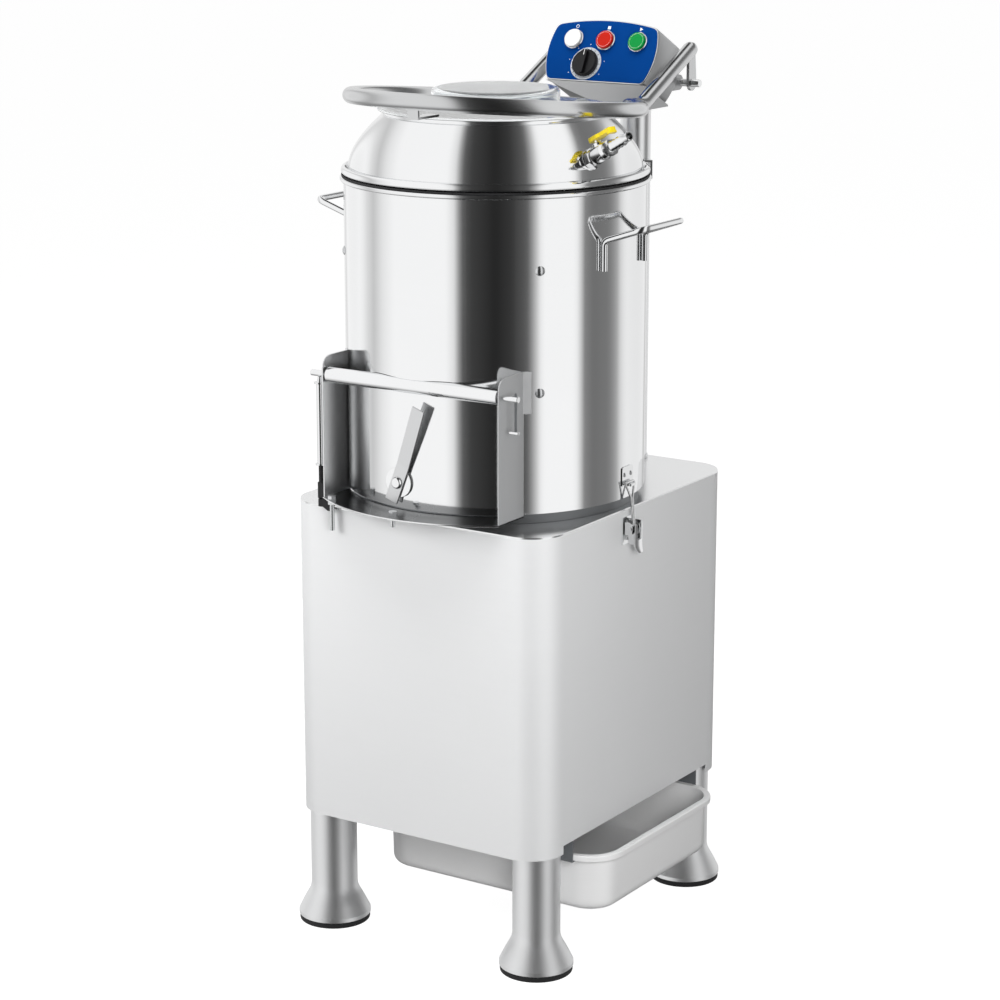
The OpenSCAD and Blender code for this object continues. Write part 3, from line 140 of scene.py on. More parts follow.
def eased(points: Sequence[Sequence[float]], radii: float | Sequence[float], steps: int = 5,
          closed: bool = True) -> Array:
    """Rounds the corners of an outline or a route.

    Each corner becomes a curve (1-t)^2 A + 2t(1-t) C + t^2 B, where A and B lie on its two sides
    at the distance that an arc of the wanted radius would touch, and C is the corner. A point
    just before and just after each curve keeps the sides flat in the shading.

    Args:
        points: the corners, in two or three dimensions.
        radii: one radius for all corners, or one for each.
        steps: stretches in each rounded corner.
        closed: whether the last corner joins the first.

    Returns:
        The rounded points.
    """
    corners = np.asarray(points, float)
    wanted = np.broadcast_to(np.asarray(radii, float), (len(corners),))
    before = np.roll(corners, 1, axis=0)
    after = np.roll(corners, -1, axis=0)
    t = np.linspace(0, 1, steps + 1)[:, None]
    rounded = []
    for i, corner in enumerate(corners):
        if wanted[i] <= 0 or (not closed and i in (0, len(corners) - 1)):
            rounded.append(corner[None])
            continue
        back, ahead = before[i] - corner, after[i] - corner
        cosine = np.clip(unit(back) @ unit(ahead), -1, 1)
        reach = wanted[i] / max(np.tan(np.arccos(cosine) / 2), 1e-6)
        reach = min(reach, np.linalg.norm(back) / 2, np.linalg.norm(ahead) / 2)
        a, b = corner + unit(back) * reach, corner + unit(ahead) * reach
        curve = (1 - t) ** 2 * a + 2 * t * (1 - t) * corner + t**2 * b
        for spot, side, at in ((a, back, 0), (b, ahead, len(curve))):
            pad = min(0.15 * reach, (np.linalg.norm(side) / 2 - reach) / 2)
            if pad > 0.01 * reach:
                curve = np.insert(curve, at if at == 0 else len(curve), spot + unit(side) * pad, axis=0)
        rounded.append(curve)
    return np.concatenate(rounded)


def rounded_rectangle(width: float, depth: float, radius: float, steps: int = 14) -> Array:
    """Returns a rectangle's outline with round corners, anticlockwise round the origin.

    Each corner is an arc with one more point just before it and one just after it.

    Args:
        width: its size along x.
        depth: its size along y.
        radius: the corners' radius.
        steps: stretches in each corner.

    Returns:
        The outline's points.
    """
    a, b = width / 2 - radius, depth / 2 - radius
    pad = min(0.08 * radius, a / 2, b / 2)
    outline = []
    for centre, turn in (((a, b), 0), ((-a, b), 90), ((-a, -b), 180), ((a, -b), 270)):
        curve = arc(centre, radius, turn, turn + 90, steps)
        t = np.radians([turn, turn + 90])
        ahead = np.stack([-np.sin(t), np.cos(t)], axis=-1) * pad
        outline += [curve[:1] - ahead[0], curve, curve[-1:] + ahead[1]]
    return np.concatenate(outline)


class Shape:
    """Gathers surfaces into one mesh and makes it a piece of the scene."""

    def __init__(self) -> None:
        """Starts with no surface."""
        self.points: list[Array] = []
        self.faces: list[Sequence[int]] = []
        self.count = 0

    def add(self, points: Array, faces: Sequence[Sequence[int]]) -> "Shape":
        """Adds points and the faces between them.

        Args:
            points: the points, in any grid.
            faces: each face as places in the list of points.

        Returns:
            The shape.
        """
        points = np.asarray(points, float).reshape(-1, 3)
        self.points.append(points)
        self.faces.extend([[index + self.count for index in face] for face in faces])
        self.count += len(points)
        return self

    def grid(self, points: Array, wrap_rows: bool = False, wrap_columns: bool = False,
             keep: Optional[Callable[[Array], Array]] = None) -> "Shape":
        """Adds a sheet of four-sided faces over a grid of points.

        Args:
            points: rows by columns by three.
            wrap_rows: whether the last row joins the first.
            wrap_columns: whether the last column joins the first.
            keep: takes the middles of the faces and says which to keep.

        Returns:
            The shape.
        """
        rows, columns = points.shape[:2]
        i = np.arange(rows if wrap_rows else rows - 1)[:, None]
        j = np.arange(columns if wrap_columns else columns - 1)[None, :]
        below, beside = (i + 1) % rows, (j + 1) % columns
        corners = np.stack([
            i * columns + j, i * columns + beside, below * columns + beside, below * columns + j
        ], axis=-1).reshape(-1, 4)
        if keep is not None:
            corners = corners[keep(points.reshape(-1, 3)[corners].mean(axis=1))]
        return self.add(points, corners.tolist())

    def turned(self, profile: Array, place: Place = WORLD, segments: int = 96,
               closed: bool = True) -> "Shape":
        """Adds a turned shape: the profile's (r, z) points carried to (r cos t, r sin t, z).

        Args:
            profile: points of radius and height.
            place: where the turning axis is.
            segments: stretches round the axis.
            closed: whether the profile's last point joins its first.

        Returns:
            The shape.
        """
        profile = np.asarray(profile, float)
        t = np.linspace(0, 2 * np.pi, segments, endpoint=False)
        r, z = profile[:, 0, None], profile[:, 1, None]
        points = np.stack([r * np.cos(t), r * np.sin(t), z + 0 * t], axis=-1)
        return self.grid(place.put(points), wrap_rows=closed, wrap_columns=True)

    def shell(self, outer: Array, inner: Array, wrap: bool = False,
              keep: Optional[Callable[[Array], Array]] = None) -> "Shape":
        """Adds the closed solid between two grids: both sheets, and a wall along every open edge.

        Args:
            outer: the outer sheet, rows by columns by three.
            inner: the inner sheet, of the same size.
            wrap: whether the last column joins the first.
            keep: takes the middles of the outer faces and says which to keep.

        Returns:
            The shape.
        """
        rows, columns = outer.shape[:2]
        total = rows * columns
        i = np.arange(rows - 1)[:, None]
        j = np.arange(columns if wrap else columns - 1)[None, :]
        beside = (j + 1) % columns
        corners = np.stack([
            i * columns + j, i * columns + beside, (i + 1) * columns + beside, (i + 1) * columns + j
        ], axis=-1).reshape(-1, 4)
        flat = outer.reshape(-1, 3)
        if keep is not None:
            corners = corners[keep(flat[corners].mean(axis=1))]
        edges = np.stack([corners, np.roll(corners, -1, axis=1)], axis=-1).reshape(-1, 2)
        low, high = edges.min(axis=1), edges.max(axis=1)
        _, first, times = np.unique(low * total + high, return_index=True, return_counts=True)
        rim = edges[first[times == 1]]
        walls = np.column_stack([rim[:, ::-1], rim + total])
        faces = np.concatenate([corners, corners[:, ::-1] + total, walls])
        return self.add(np.concatenate([flat, inner.reshape(-1, 3)]), faces.tolist())

    def plate(self, outline: Array, low: float, high: float, place: Place = WORLD,
              holes: Sequence[Array] = ()) -> "Shape":
        """Adds a flat outline drawn out between two heights of a place.

        Args:
            outline: the outer points.
            low: the lower face's height.
            high: the upper face's height.
            place: the axes that the outline lies in.
            holes: outlines of holes through it.

        Returns:
            The shape.
        """
        loops = [np.asarray(loop, float) for loop in (outline, *holes)]
        flat = np.concatenate(loops)
        total = len(flat)
        triangles = tessellate_polygon([[(*point, 0.0) for point in loop] for loop in loops])
        base = np.column_stack([flat, np.full(total, low)])
        top = np.column_stack([flat, np.full(total, high)])
        faces = [list(t)[::-1] for t in triangles] + [[i + total for i in t] for t in triangles]
        start = 0
        for loop in loops:
            size = len(loop)
            faces += [[start + i, start + (i + 1) % size, start + (i + 1) % size + total, start + i + total]
                      for i in range(size)]
            start += size
        return self.add(place.put(np.concatenate([base, top])), faces)

    def tube(self, path: Array, radius: float, sides: int = 20, domed: float = 0.0,
             lean: Sequence[float] = (0.31, 0.47, 0.83)) -> "Shape":
        """Adds a round rod along a path: path(s) + radius (cos t e(s) + sin t f(s)).

        Args:
            path: the middle line's points.
            radius: the rod's radius.
            sides: faces round it.
            domed: how far the ends bulge.
            lean: a direction that the path never follows, from which e and f are worked out.

        Returns:
            The shape.
        """
        path = np.asarray(path, float)
        tangent = unit(np.gradient(path, axis=0))
        q = np.linspace(0, np.pi / 2, 5)[1:]
        reach = domed if domed else radius * 0.02
        start = path[0] - tangent[0] * reach * np.sin(q)[::-1, None]
        end = path[-1] + tangent[-1] * reach * np.sin(q)[:, None]
        radii = np.concatenate([np.cos(q)[::-1], np.ones(len(path)), np.cos(q)]) * radius
        tangent = np.concatenate([np.repeat(tangent[:1], 4, 0), tangent, np.repeat(tangent[-1:], 4, 0)])
        path = np.concatenate([start, path, end])
        e = unit(np.cross(tangent, lean))
        f = np.cross(tangent, e)
        t = np.linspace(0, 2 * np.pi, sides, endpoint=False)
        ring = e[:, None] * np.cos(t)[None, :, None] + f[:, None] * np.sin(t)[None, :, None]
        return self.grid(path[:, None] + radii[:, None, None] * ring, wrap_columns=True)

    def box(self, low: Sequence[float], high: Sequence[float], place: Place = WORLD) -> "Shape":
        """Adds a block between two corners of a place."""
        outline = np.array([[low[0], low[1]], [high[0], low[1]], [high[0], high[1]], [low[0], high[1]]])
        return self.plate(outline, low[2], high[2], place)

    def piece(self, name: str, finish: "Finish", body: str = ROOT, replaces: Sequence[str] = (),
              bevel: float = 0.0) -> bpy.types.Object:
        """Makes the mesh a piece in metres, dressed and riding on a body.

        Args:
            name: the piece's name.
            finish: its finish.
            body: the CAD body that it rides on.
            replaces: CAD nodes that it stands for.
            bevel: how wide its sharp edges are rounded, in millimetres.

        Returns:
            The piece's object.
        """
        mesh = bpy.data.meshes.new(name)
        points = np.concatenate(self.points) * MM + AXIS
        mesh.from_pydata(points.tolist(), [], self.faces)
        work = bmesh.new()
        work.from_mesh(mesh)
        bmesh.ops.remove_doubles(work, verts=work.verts, dist=MERGE * MM)
        bmesh.ops.recalc_face_normals(work, faces=work.faces)
        work.to_mesh(mesh)
        work.free()
        mesh.shade_smooth()
        mesh.set_sharp_from_angle(angle=CREASE)
        mesh.materials.append(finish.material())
        piece = bpy.data.objects.new(name, mesh)
        bpy.context.scene.collection.objects.link(piece)
        if bevel:
            rounding = piece.modifiers.new("Edges", "BEVEL")
            rounding.width = bevel * MM
            rounding.segments = 2
            rounding.limit_method = "ANGLE"
            rounding.angle_limit = CREASE
            rounding.harden_normals = True
        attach(piece, body)
        if replaces:
            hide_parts(*replaces)
        log.info("%s: %d faces", name, len(mesh.polygons))
        return piece


class Grain(Enum):
    """The small texture that a finish has, as the stretch of its noise along X, Y and Z."""

    ROUND = (1.0, 1.0, 1.0)
    UPRIGHT = (60.0, 60.0, 1.0)
    LEVEL = (1.0, 1.0, 60.0)


def add_node(nodes: bpy.types.Nodes, kind: str, values: Optional[dict[str | int, Any]] = None,
             **settings: str) -> bpy.types.Node:
    """Adds a shader node, with its settings and the values of its own sockets.

    Args:
        nodes: where it is added.
        kind: its type, without the word that they all start with.
        values: the values, by socket.
        settings: the settings, by name.

    Returns:
        The node.
    """
    node = nodes.new(f"ShaderNode{kind}")
    for name, value in settings.items():
        setattr(node, name, value)
    for socket, value in (values or {}).items():
        node.inputs[socket].default_value = value
    return node


def group_sockets(group: bpy.types.NodeTree, inputs: dict[str, float], outputs: Sequence[str]) -> None:
    """Gives a shader group its sockets: a Vector input, number inputs and number outputs.

    Args:
        group: the group.
        inputs: the number inputs and their values.
        outputs: the number outputs.
    """
    group.interface.new_socket(name="Vector", in_out="INPUT", socket_type="NodeSocketVector")
    for name, value in inputs.items():
        socket = group.interface.new_socket(name=name, in_out="INPUT", socket_type="NodeSocketFloat")
        socket.default_value = value
    for name in outputs:
        group.interface.new_socket(name=name, in_out="OUTPUT", socket_type="NodeSocketFloat")


def grain_group() -> bpy.types.NodeTree:
    """Makes the shared group for fine grain: noise from a stretched place, about a half.

    Returns:
        The group, made on first use.
    """
    name = "Fine grain"
    if name in bpy.data.node_groups:
        return bpy.data.node_groups[name]
    group = bpy.data.node_groups.new(name, "ShaderNodeTree")
    group_sockets(group, {"Scale": 40.0, "Contrast": 1.0}, ["Grain"])
    enter, leave = group.nodes.new("NodeGroupInput"), group.nodes.new("NodeGroupOutput")
    noise = add_node(group.nodes, "TexNoise", {"Detail": 5.0, "Roughness": 0.62})
    centre = add_node(group.nodes, "Math", {1: 0.5}, operation="SUBTRACT")
    spread = add_node(group.nodes, "Math", operation="MULTIPLY")
    back = add_node(group.nodes, "Math", {1: 0.5})
    link = group.links.new
    link(enter.outputs["Vector"], noise.inputs["Vector"])
    link(enter.outputs["Scale"], noise.inputs["Scale"])
    link(noise.outputs["Fac"], centre.inputs[0])
    link(centre.outputs[0], spread.inputs[0])
    link(enter.outputs["Contrast"], spread.inputs[1])
    link(spread.outputs[0], back.inputs[0])
    link(back.outputs[0], leave.inputs["Grain"])
    return group


def smudge_group() -> bpy.types.NodeTree:
    """Makes the shared group for soft patches: slow noise with a raised middle, from 0 to 1.

    Returns:
        The group, made on first use.
    """
    name = "Soft patches"
    if name in bpy.data.node_groups:
        return bpy.data.node_groups[name]
    group = bpy.data.node_groups.new(name, "ShaderNodeTree")
    group_sockets(group, {"Scale": 4.0}, ["Patches"])
    enter, leave = group.nodes.new("NodeGroupInput"), group.nodes.new("NodeGroupOutput")
    noise = add_node(group.nodes, "TexNoise", {"Detail": 3.0, "Distortion": 0.4})
    ramp = add_node(group.nodes, "MapRange", {"From Min": 0.35, "From Max": 0.7},
                    interpolation_type="SMOOTHSTEP")
    link = group.links.new
    link(enter.outputs["Vector"], noise.inputs["Vector"])
    link(enter.outputs["Scale"], noise.inputs["Scale"])
    link(noise.outputs["Fac"], ramp.inputs["Value"])
    link(ramp.outputs["Result"], leave.inputs["Patches"])
    return group


@dataclass(frozen=True)
class Finish:
    """How a surface looks: its colour, gloss and small texture, and a slot name for it."""

    name: str
    slot: str
    colour: Colour
    metallic: float = 0.0
    roughness: float = 0.4
    grain: Grain = Grain.ROUND
    grain_scale: float = 60.0
    grain_depth: float = 0.0
    roughness_spread: float = 0.05
    tone_spread: float = 0.03
    patch_scale: float = 5.0
    coat: float = 0.0
    transmission: float = 0.0
    ior: float = 1.5
    alpha: float = 1.0
    specular: float = 0.5
    coat_roughness: float = 0.08
    bump_height: float = 0.0006

    def material(self) -> bpy.types.Material:
        """Makes the finish's material.

        Returns:
            The material, made on first use.
        """
        made = bpy.data.materials.get(self.name)
        if made is not None:
            return made
        made = bpy.data.materials.new(self.name)
        made.use_nodes = True
        nodes, link = made.node_tree.nodes, made.node_tree.links.new
        shader = nodes["Principled BSDF"]
        for socket, value in {"Metallic": self.metallic, "Coat Weight": self.coat, "IOR": self.ior,
                              "Coat Roughness": self.coat_roughness, "Alpha": self.alpha,
                              "Specular IOR Level": self.specular,
                              "Transmission Weight": self.transmission}.items():
            shader.inputs[socket].default_value = value
        place = add_node(nodes, "TexCoord")
        stretch = add_node(nodes, "Mapping", {"Scale": self.grain.value})
        link(place.outputs["Object"], stretch.inputs["Vector"])
        grain = nodes.new("ShaderNodeGroup")
        grain.node_tree = grain_group()
        grain.inputs["Scale"].default_value = self.grain_scale
        link(stretch.outputs["Vector"], grain.inputs["Vector"])
        patches = nodes.new("ShaderNodeGroup")
        patches.node_tree = smudge_group()
        patches.inputs["Scale"].default_value = self.patch_scale
        link(place.outputs["Object"], patches.inputs["Vector"])
        self.tone(nodes, link, shader, grain, patches)
        self.gloss(nodes, link, shader, grain, patches)
        if self.grain_depth:
            bump = add_node(nodes, "Bump", {"Strength": self.grain_depth, "Distance": self.bump_height})
            link(grain.outputs["Grain"], bump.inputs["Height"])
            link(bump.outputs["Normal"], shader.inputs["Normal"])
        return made

    def tone(self, nodes: bpy.types.Nodes, link: Callable, shader: bpy.types.Node,
             grain: bpy.types.Node, patches: bpy.types.Node) -> None:
        """Varies the base colour a little with the grain and the patches.

        Args:
            nodes: the material's nodes.
            link: adds a link between two sockets.
            shader: the material's shader.
            grain: the group for fine grain.
            patches: the group for soft patches.
        """
        dark = tuple(c * (1 - self.tone_spread) for c in self.colour)
        light = tuple(min(c * (1 + self.tone_spread), 1.0) for c in self.colour)
        both = add_node(nodes, "Math", {1: 0.5}, operation="MULTIPLY_ADD")
        half = add_node(nodes, "Math", {1: 0.5}, operation="MULTIPLY")
        link(grain.outputs["Grain"], half.inputs[0])
        link(patches.outputs["Patches"], both.inputs[0])
        link(half.outputs[0], both.inputs[2])
        mix = add_node(nodes, "Mix", {"A": (*dark, 1), "B": (*light, 1)}, data_type="RGBA")
        link(both.outputs[0], mix.inputs["Factor"])
        link(mix.outputs["Result"], shader.inputs["Base Color"])

    def gloss(self, nodes: bpy.types.Nodes, link: Callable, shader: bpy.types.Node,
              grain: bpy.types.Node, patches: bpy.types.Node) -> None:
        """Varies the roughness: the wanted value plus its spread times patches and grain.

        Args:
            nodes: the material's nodes.
            link: adds a link between two sockets.
            shader: the material's shader.
            grain: the group for fine grain.
            patches: the group for soft patches.
        """
        low = add_node(nodes, "Math", {1: self.roughness_spread, 2: self.roughness}, operation="MULTIPLY_ADD")
        high = add_node(nodes, "Math", {1: self.roughness_spread}, operation="MULTIPLY_ADD")
        link(patches.outputs["Patches"], low.inputs[0])
        link(grain.outputs["Grain"], high.inputs[0])
        link(low.outputs[0], high.inputs[2])
        link(high.outputs[0], shader.inputs["Roughness"])


POLISHED = Finish("Polished steel", "polished_steel", (0.895, 0.9, 0.905), 1.0, 0.055, Grain.LEVEL,
                  3.0, 0.012, 0.03, 0.015)
BRIGHT = Finish("Bright steel", "polished_steel", (0.87, 0.875, 0.88), 1.0, 0.07, Grain.ROUND,
                80.0, 0.0, 0.03, 0.02)
SOFT_STEEL = Finish("Soft polished steel", "polished_steel", (0.84, 0.845, 0.85), 1.0, 0.27,
                    Grain.UPRIGHT, 3.0, 0.01, 0.05, 0.03)
LEG_STEEL = Finish("Leg steel", "polished_steel", (0.84, 0.845, 0.85), 1.0, 0.42, Grain.UPRIGHT,
                   3.0, 0.01, 0.05, 0.03)
# Painted shade: the right cheek is the same steel as the left one, given a darker colour for the shade that
# falls on it.
SHADED_CHEEK = Finish("Brushed cheek steel darkened for shade", "polished_steel", (0.46, 0.465, 0.47), 0.5, 0.32, Grain.UPRIGHT,
               3.0, 0.02, 0.06, 0.04)
# Painted reflection: the lid frame's polished steel is given a darker colour, standing in for the darker
# reflections that the tube shows.
DARKENED_TUBE_STEEL = Finish("Polished tube steel darkened for its reflections", "polished_steel", (0.64, 0.645, 0.65), 1.0, 0.15, Grain.ROUND,
                    30.0, 0.01, 0.05, 0.03)
# Painted shade: the head box's satin steel is darker than the casing's, for the shade on its underside and
# sides.
SHADED_HEAD_STEEL = Finish("Satin head steel darkened for shade", "satin_steel", (0.50, 0.505, 0.51), 0.7, 0.34, Grain.LEVEL,
                    4.0, 0.03, 0.06, 0.03)
# Painted light: the tray's satin steel is lighter than the casing's, to lift the shade that the pan lies in
# under the casing.
BRIGHTENED_TRAY_STEEL = Finish("Satin tray steel brightened for light", "satin_steel", (0.95, 0.95, 0.95), 0.1, 0.42, Grain.LEVEL,
                    4.0, 0.03, 0.06, 0.02)
# Painted shade: the chute floor is steel given a near black colour for the shadow that lies on it under the
# door.
SHADED_CHUTE_FLOOR = Finish("Chute floor steel darkened for shade", "polished_steel", (0.16, 0.165, 0.17), 1.0, 0.16, Grain.ROUND,
                     14.0, 0.02, 0.12, 0.2)
LEVER = Finish("Brushed lever steel", "polished_steel", (0.70, 0.705, 0.71), 0.95, 0.27, Grain.UPRIGHT,
               5.0, 0.02, 0.06, 0.03)
SATIN = Finish("Satin steel", "satin_steel", (0.80, 0.805, 0.81), 0.12, 0.42, Grain.LEVEL,
               4.0, 0.03, 0.06, 0.02)
DECK = Finish("Deck steel", "satin_steel", (0.86, 0.865, 0.87), 0.9, 0.12, Grain.LEVEL,
              4.0, 0.02, 0.05, 0.02)
# Painted shade: steel given a dark colour to stand for the shadowed gap under the drum and the shade round
# the hinge keeper.
SHADE_DARK_STEEL = Finish("Steel darkened for shade", "satin_steel", (0.30, 0.31, 0.32), 1.0, 0.45, Grain.LEVEL,
                    4.0, 0.05, 0.06, 0.05)
SCREW = Finish("Screw steel", "fastener_steel", (0.72, 0.73, 0.74), 1.0, 0.18, Grain.ROUND,
               200.0, 0.02, 0.1, 0.05)
SHAFT = Finish("Ground shaft steel", "shaft_steel", (0.60, 0.61, 0.62), 1.0, 0.25, Grain.LEVEL,
               20.0, 0.05, 0.1, 0.05)
IRON = Finish("Dark cast iron", "dark_iron", (0.09, 0.095, 0.10), 0.6, 0.55, Grain.ROUND,
              220.0, 0.35, 0.15, 0.2)
FRAME_PAINT = Finish("Grey frame paint", "frame_paint", (0.16, 0.17, 0.18), 0.2, 0.45, Grain.ROUND,
                     120.0, 0.12, 0.1, 0.1, coat=0.2)
GRIT = Finish("Bonded grit", "abrasive", (0.075, 0.065, 0.06), 0.0, 0.85, Grain.ROUND,
              520.0, 1.0, 0.1, 0.45)
RUBBER = Finish("Black rubber", "black_rubber", (0.018, 0.018, 0.019), 0.0, 0.62, Grain.ROUND,
                260.0, 0.2, 0.15, 0.2)
PIPE = Finish("Grey pipe", "grey_pipe", (0.25, 0.26, 0.27), 0.0, 0.4, Grain.ROUND,
              90.0, 0.05, 0.1, 0.08)
BLACK_PLASTIC = Finish("Black plastic", "black_plastic", (0.006, 0.006, 0.007), 0.0, 0.3,
                       Grain.ROUND, 420.0, 0.1, 0.1, 0.15, specular=0.35)
PALE_PLASTIC = Finish("Pale plastic", "pale_plastic", (0.66, 0.64, 0.57), 0.0, 0.4, Grain.ROUND,
                      160.0, 0.05, 0.1, 0.05)
CLEAR = Finish("Clear lid", "clear_lid", (0.93, 0.96, 0.97), 0.0, 0.04, Grain.ROUND,
               30.0, 0.0, 0.02, 0.01, transmission=0.92, ior=1.45)
BLUE = Finish("Blue panel paint", "blue_paint", (0.0005, 0.042, 0.21), 0.0, 0.5, Grain.ROUND,
              300.0, 0.06, 0.06, 0.06, specular=0.05)
YELLOW = Finish("Yellow lever paint", "yellow_paint", (0.90, 0.70, 0.012), 0.0, 0.3, Grain.ROUND,
                140.0, 0.05, 0.08, 0.06, coat=0.3)
WHITE_CAP = Finish("White cap", "white_plastic", (0.80, 0.80, 0.78), 0.0, 0.25, Grain.ROUND,
                   200.0, 0.02, 0.06, 0.03, coat=0.1)
RED_CAP = Finish("Red cap", "red_plastic", (0.46, 0.012, 0.004), 0.0, 0.25, Grain.ROUND,
                 200.0, 0.02, 0.06, 0.06, coat=0.1, specular=0.15)
GREEN_CAP = Finish("Green cap", "green_plastic", (0.001, 0.24, 0.042), 0.0, 0.25, Grain.ROUND,
                   200.0, 0.02, 0.06, 0.06, coat=0.1, specular=0.15)
MARK = Finish("White marks", "white_plastic", (0.82, 0.82, 0.82), 0.0, 0.4)
DIAL = Finish("Dial plate", "polished_steel", (0.55, 0.58, 0.62), 0.2, 0.4, Grain.ROUND,
              120.0, 0.02, 0.06, 0.04)

CAD_FINISHES = {
    SATIN: ["rear_cover"],
    # The bracket takes the head's satin steel darkened for painted shade.
    SHADED_HEAD_STEEL: ["control_bracket"],
    DECK: ["top_deck"],
    BRIGHT: ["rim_clips", "hinge_axle", "disc_nut"],
    SCREW: ["rear_cover_screws", "liner_screws", "motor_bolts", "chute_bolts"],
    SHAFT: ["main_shaft", "motor_shaft", "bearings"],
    IRON: ["bearing_housing", "driven_pulley", "motor_pulley"],
    FRAME_PAINT: ["base_frame", "motor_bracket", "motor_body"],
    GRIT: ["abrasive_liner", "abrasive_disc"],
    RUBBER: ["shaft_seal", "drive_belt"],
    PIPE: ["waste_duct"],
    BLACK_PLASTIC: ["cable_gland"],
    PALE_PLASTIC: ["timer_unit", "contactor"],
}


def dress_node(node: str, finish: Finish) -> None:
    """Gives a CAD node that stays in view a finish in place of its plain material.

    Args:
        node: the CAD node's name.
        finish: its finish.
    """
    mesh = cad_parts[node].data
    mesh.materials.clear()
    mesh.materials.append(finish.material())


@dataclass
class Cabinet:
    """The casing, its deck, the legs and their rubber rings."""

    corner: float = 45.0
    sheet: float = 1.5
    cover_half: float = 136.0
    cover_low: float = 217.0
    cover_high: float = 519.0
    notch_top: float = 169.0
    notch_room: float = 26.0
    leg_x: float = 157.0
    leg_inset: float = 43.0
    leg_r: float = 30.15
    foot_r: float = 47.0
    ring_r: float = 46.0
    flare_top: float = 38.0
    flare_low: float = 20.0
    foot_rim: float = 6.0

    def build(self) -> None:
        """Makes the casing and the four legs."""
        self.low, self.high = span("cabinet_shell")
        self.mid = (self.low[1] + self.high[1]) / 2
        self.width, self.depth = (self.high - self.low)[:2]
        self.casing()
        self.legs()

    def casing(self) -> None:
        """Makes the casing: its rounded outline drawn upwards, open at the tray and the rear cover."""
        tray_low, tray_high = span("peel_tray")
        levels = np.array([self.low[2], self.notch_top, self.cover_low, self.cover_high, self.high[2]])

        def sheet(inset: float) -> Array:
            """Returns the casing's grid at a depth inside its outer face.

            Args:
                inset: the depth.

            Returns:
                The grid.
            """
            ring = rounded_rectangle(self.width - 2 * inset, self.depth - 2 * inset, self.corner - inset, 20)
            ring[:, 1] += self.mid
            quarter = len(ring) // 4
            rear = [[x, self.high[1] - inset] for x in (self.cover_half, -self.cover_half)]
            side = [[self.high[0] - inset, y]
                    for y in (tray_low[1] - self.notch_room, tray_high[1] + self.notch_room)]
            ring = np.concatenate([ring[:quarter], rear, ring[quarter:], side])
            grid = np.empty((len(levels), len(ring), 3))
            grid[..., :2] = ring
            grid[..., 2] = levels[:, None]
            return grid

        def keep(middle: Array) -> Array:
            """Leaves out the faces in the tray's notch and in the rear window.

            Args:
                middle: the middles of the faces.

            Returns:
                Whether each face is kept.
            """
            notch = (middle[:, 0] > self.high[0] - 1) & (middle[:, 2] < self.notch_top)
            notch &= (middle[:, 1] > tray_low[1] - self.notch_room)
            notch &= middle[:, 1] < tray_high[1] + self.notch_room
            window = (middle[:, 1] > self.high[1] - 1) & (np.abs(middle[:, 0]) < self.cover_half)
            window &= (middle[:, 2] > self.cover_low) & (middle[:, 2] < self.cover_high)
            return ~(notch | window)

        shape = Shape().shell(sheet(0.0), sheet(self.sheet), True, keep)
        shape.piece("casing", SATIN, replaces=["cabinet_shell"])

    def legs(self) -> None:
        """Makes the legs, turned from a profile with a soft flare above the foot."""
        _, ring_top = span("foot_rings")
        base, top = ring_top[2], span("legs")[1][2]
        flare = eased([(self.foot_r - 2, base), (self.foot_r, base + 1), (self.foot_r, base + self.foot_rim),
                       (self.leg_r + 10, base + self.flare_low), (self.leg_r, base + self.flare_top),
                       (self.leg_r, top)],
                      [0, 1, 2, 12, 30, 0], 6, closed=False)
        profile = np.concatenate([[[0, base]], flare, [[0, top]]])
        ring = eased([(CORE, 0), (self.ring_r, 0), (self.ring_r, base), (CORE, base)], [0, 2, 1, 0])
        legs, rings = Shape(), Shape()
        for x in (-self.leg_x, self.leg_x):
            for y in (self.low[1] + self.leg_inset, self.high[1] - self.leg_inset):
                foot = Place(np.array([x, y, 0.0]))
                legs.turned(profile, foot, 64, closed=False)
                rings.turned(ring, foot, 64)
        legs.piece("leg_tubes", LEG_STEEL, replaces=["legs"])
        rings.piece("rubber_feet", RUBBER, replaces=["foot_rings"])


@dataclass
class Tray:
    """The peel tray: a pressed pan with a turned-down rim."""

    rim: float = 9.0
    skirt: float = 7.0
    wall: float = 1.2
    corner: float = 49.0
    floor_round: float = 12.0
    wall_lean: float = 1.5
    floor_reach: float = 60.0

    def build(self) -> None:
        """Makes the pan from rings of rounded rectangles, each drawn in and set at its own height."""
        low, high = span("peel_tray")
        width, depth = (high - low)[:2]
        middle = (low + high) / 2
        steps = eased([(0, high[2] - self.skirt), (0, high[2]), (self.rim, high[2]),
                       (self.rim + self.wall_lean, low[2]), (self.rim + self.floor_reach, low[2])],
                      [0, 1.6, 1.6, self.floor_round, 0], 6, closed=False)
        along_steps = unit(np.gradient(steps, axis=0))
        inner = steps + np.column_stack([along_steps[:, 1], -along_steps[:, 0]]) * self.wall
        rings = []
        for inset, height in np.concatenate([steps[::-1], inner]):
            ring = rounded_rectangle(width - 2 * inset, depth - 2 * inset, max(self.corner - inset, 4))
            rings.append(np.column_stack([ring + middle[:2], np.full(len(ring), height)]))
        shape = Shape().grid(np.stack(rings), wrap_columns=True)
        count = len(rings[0])
        last = count * (len(rings) - 1)
        shape.faces += [list(range(count)), list(range(last, last + count))]
        # The pan's steel is brightened to paint light into its shaded place under the casing.
        shape.piece("pan", BRIGHTENED_TRAY_STEEL, "tray", ["peel_tray"])


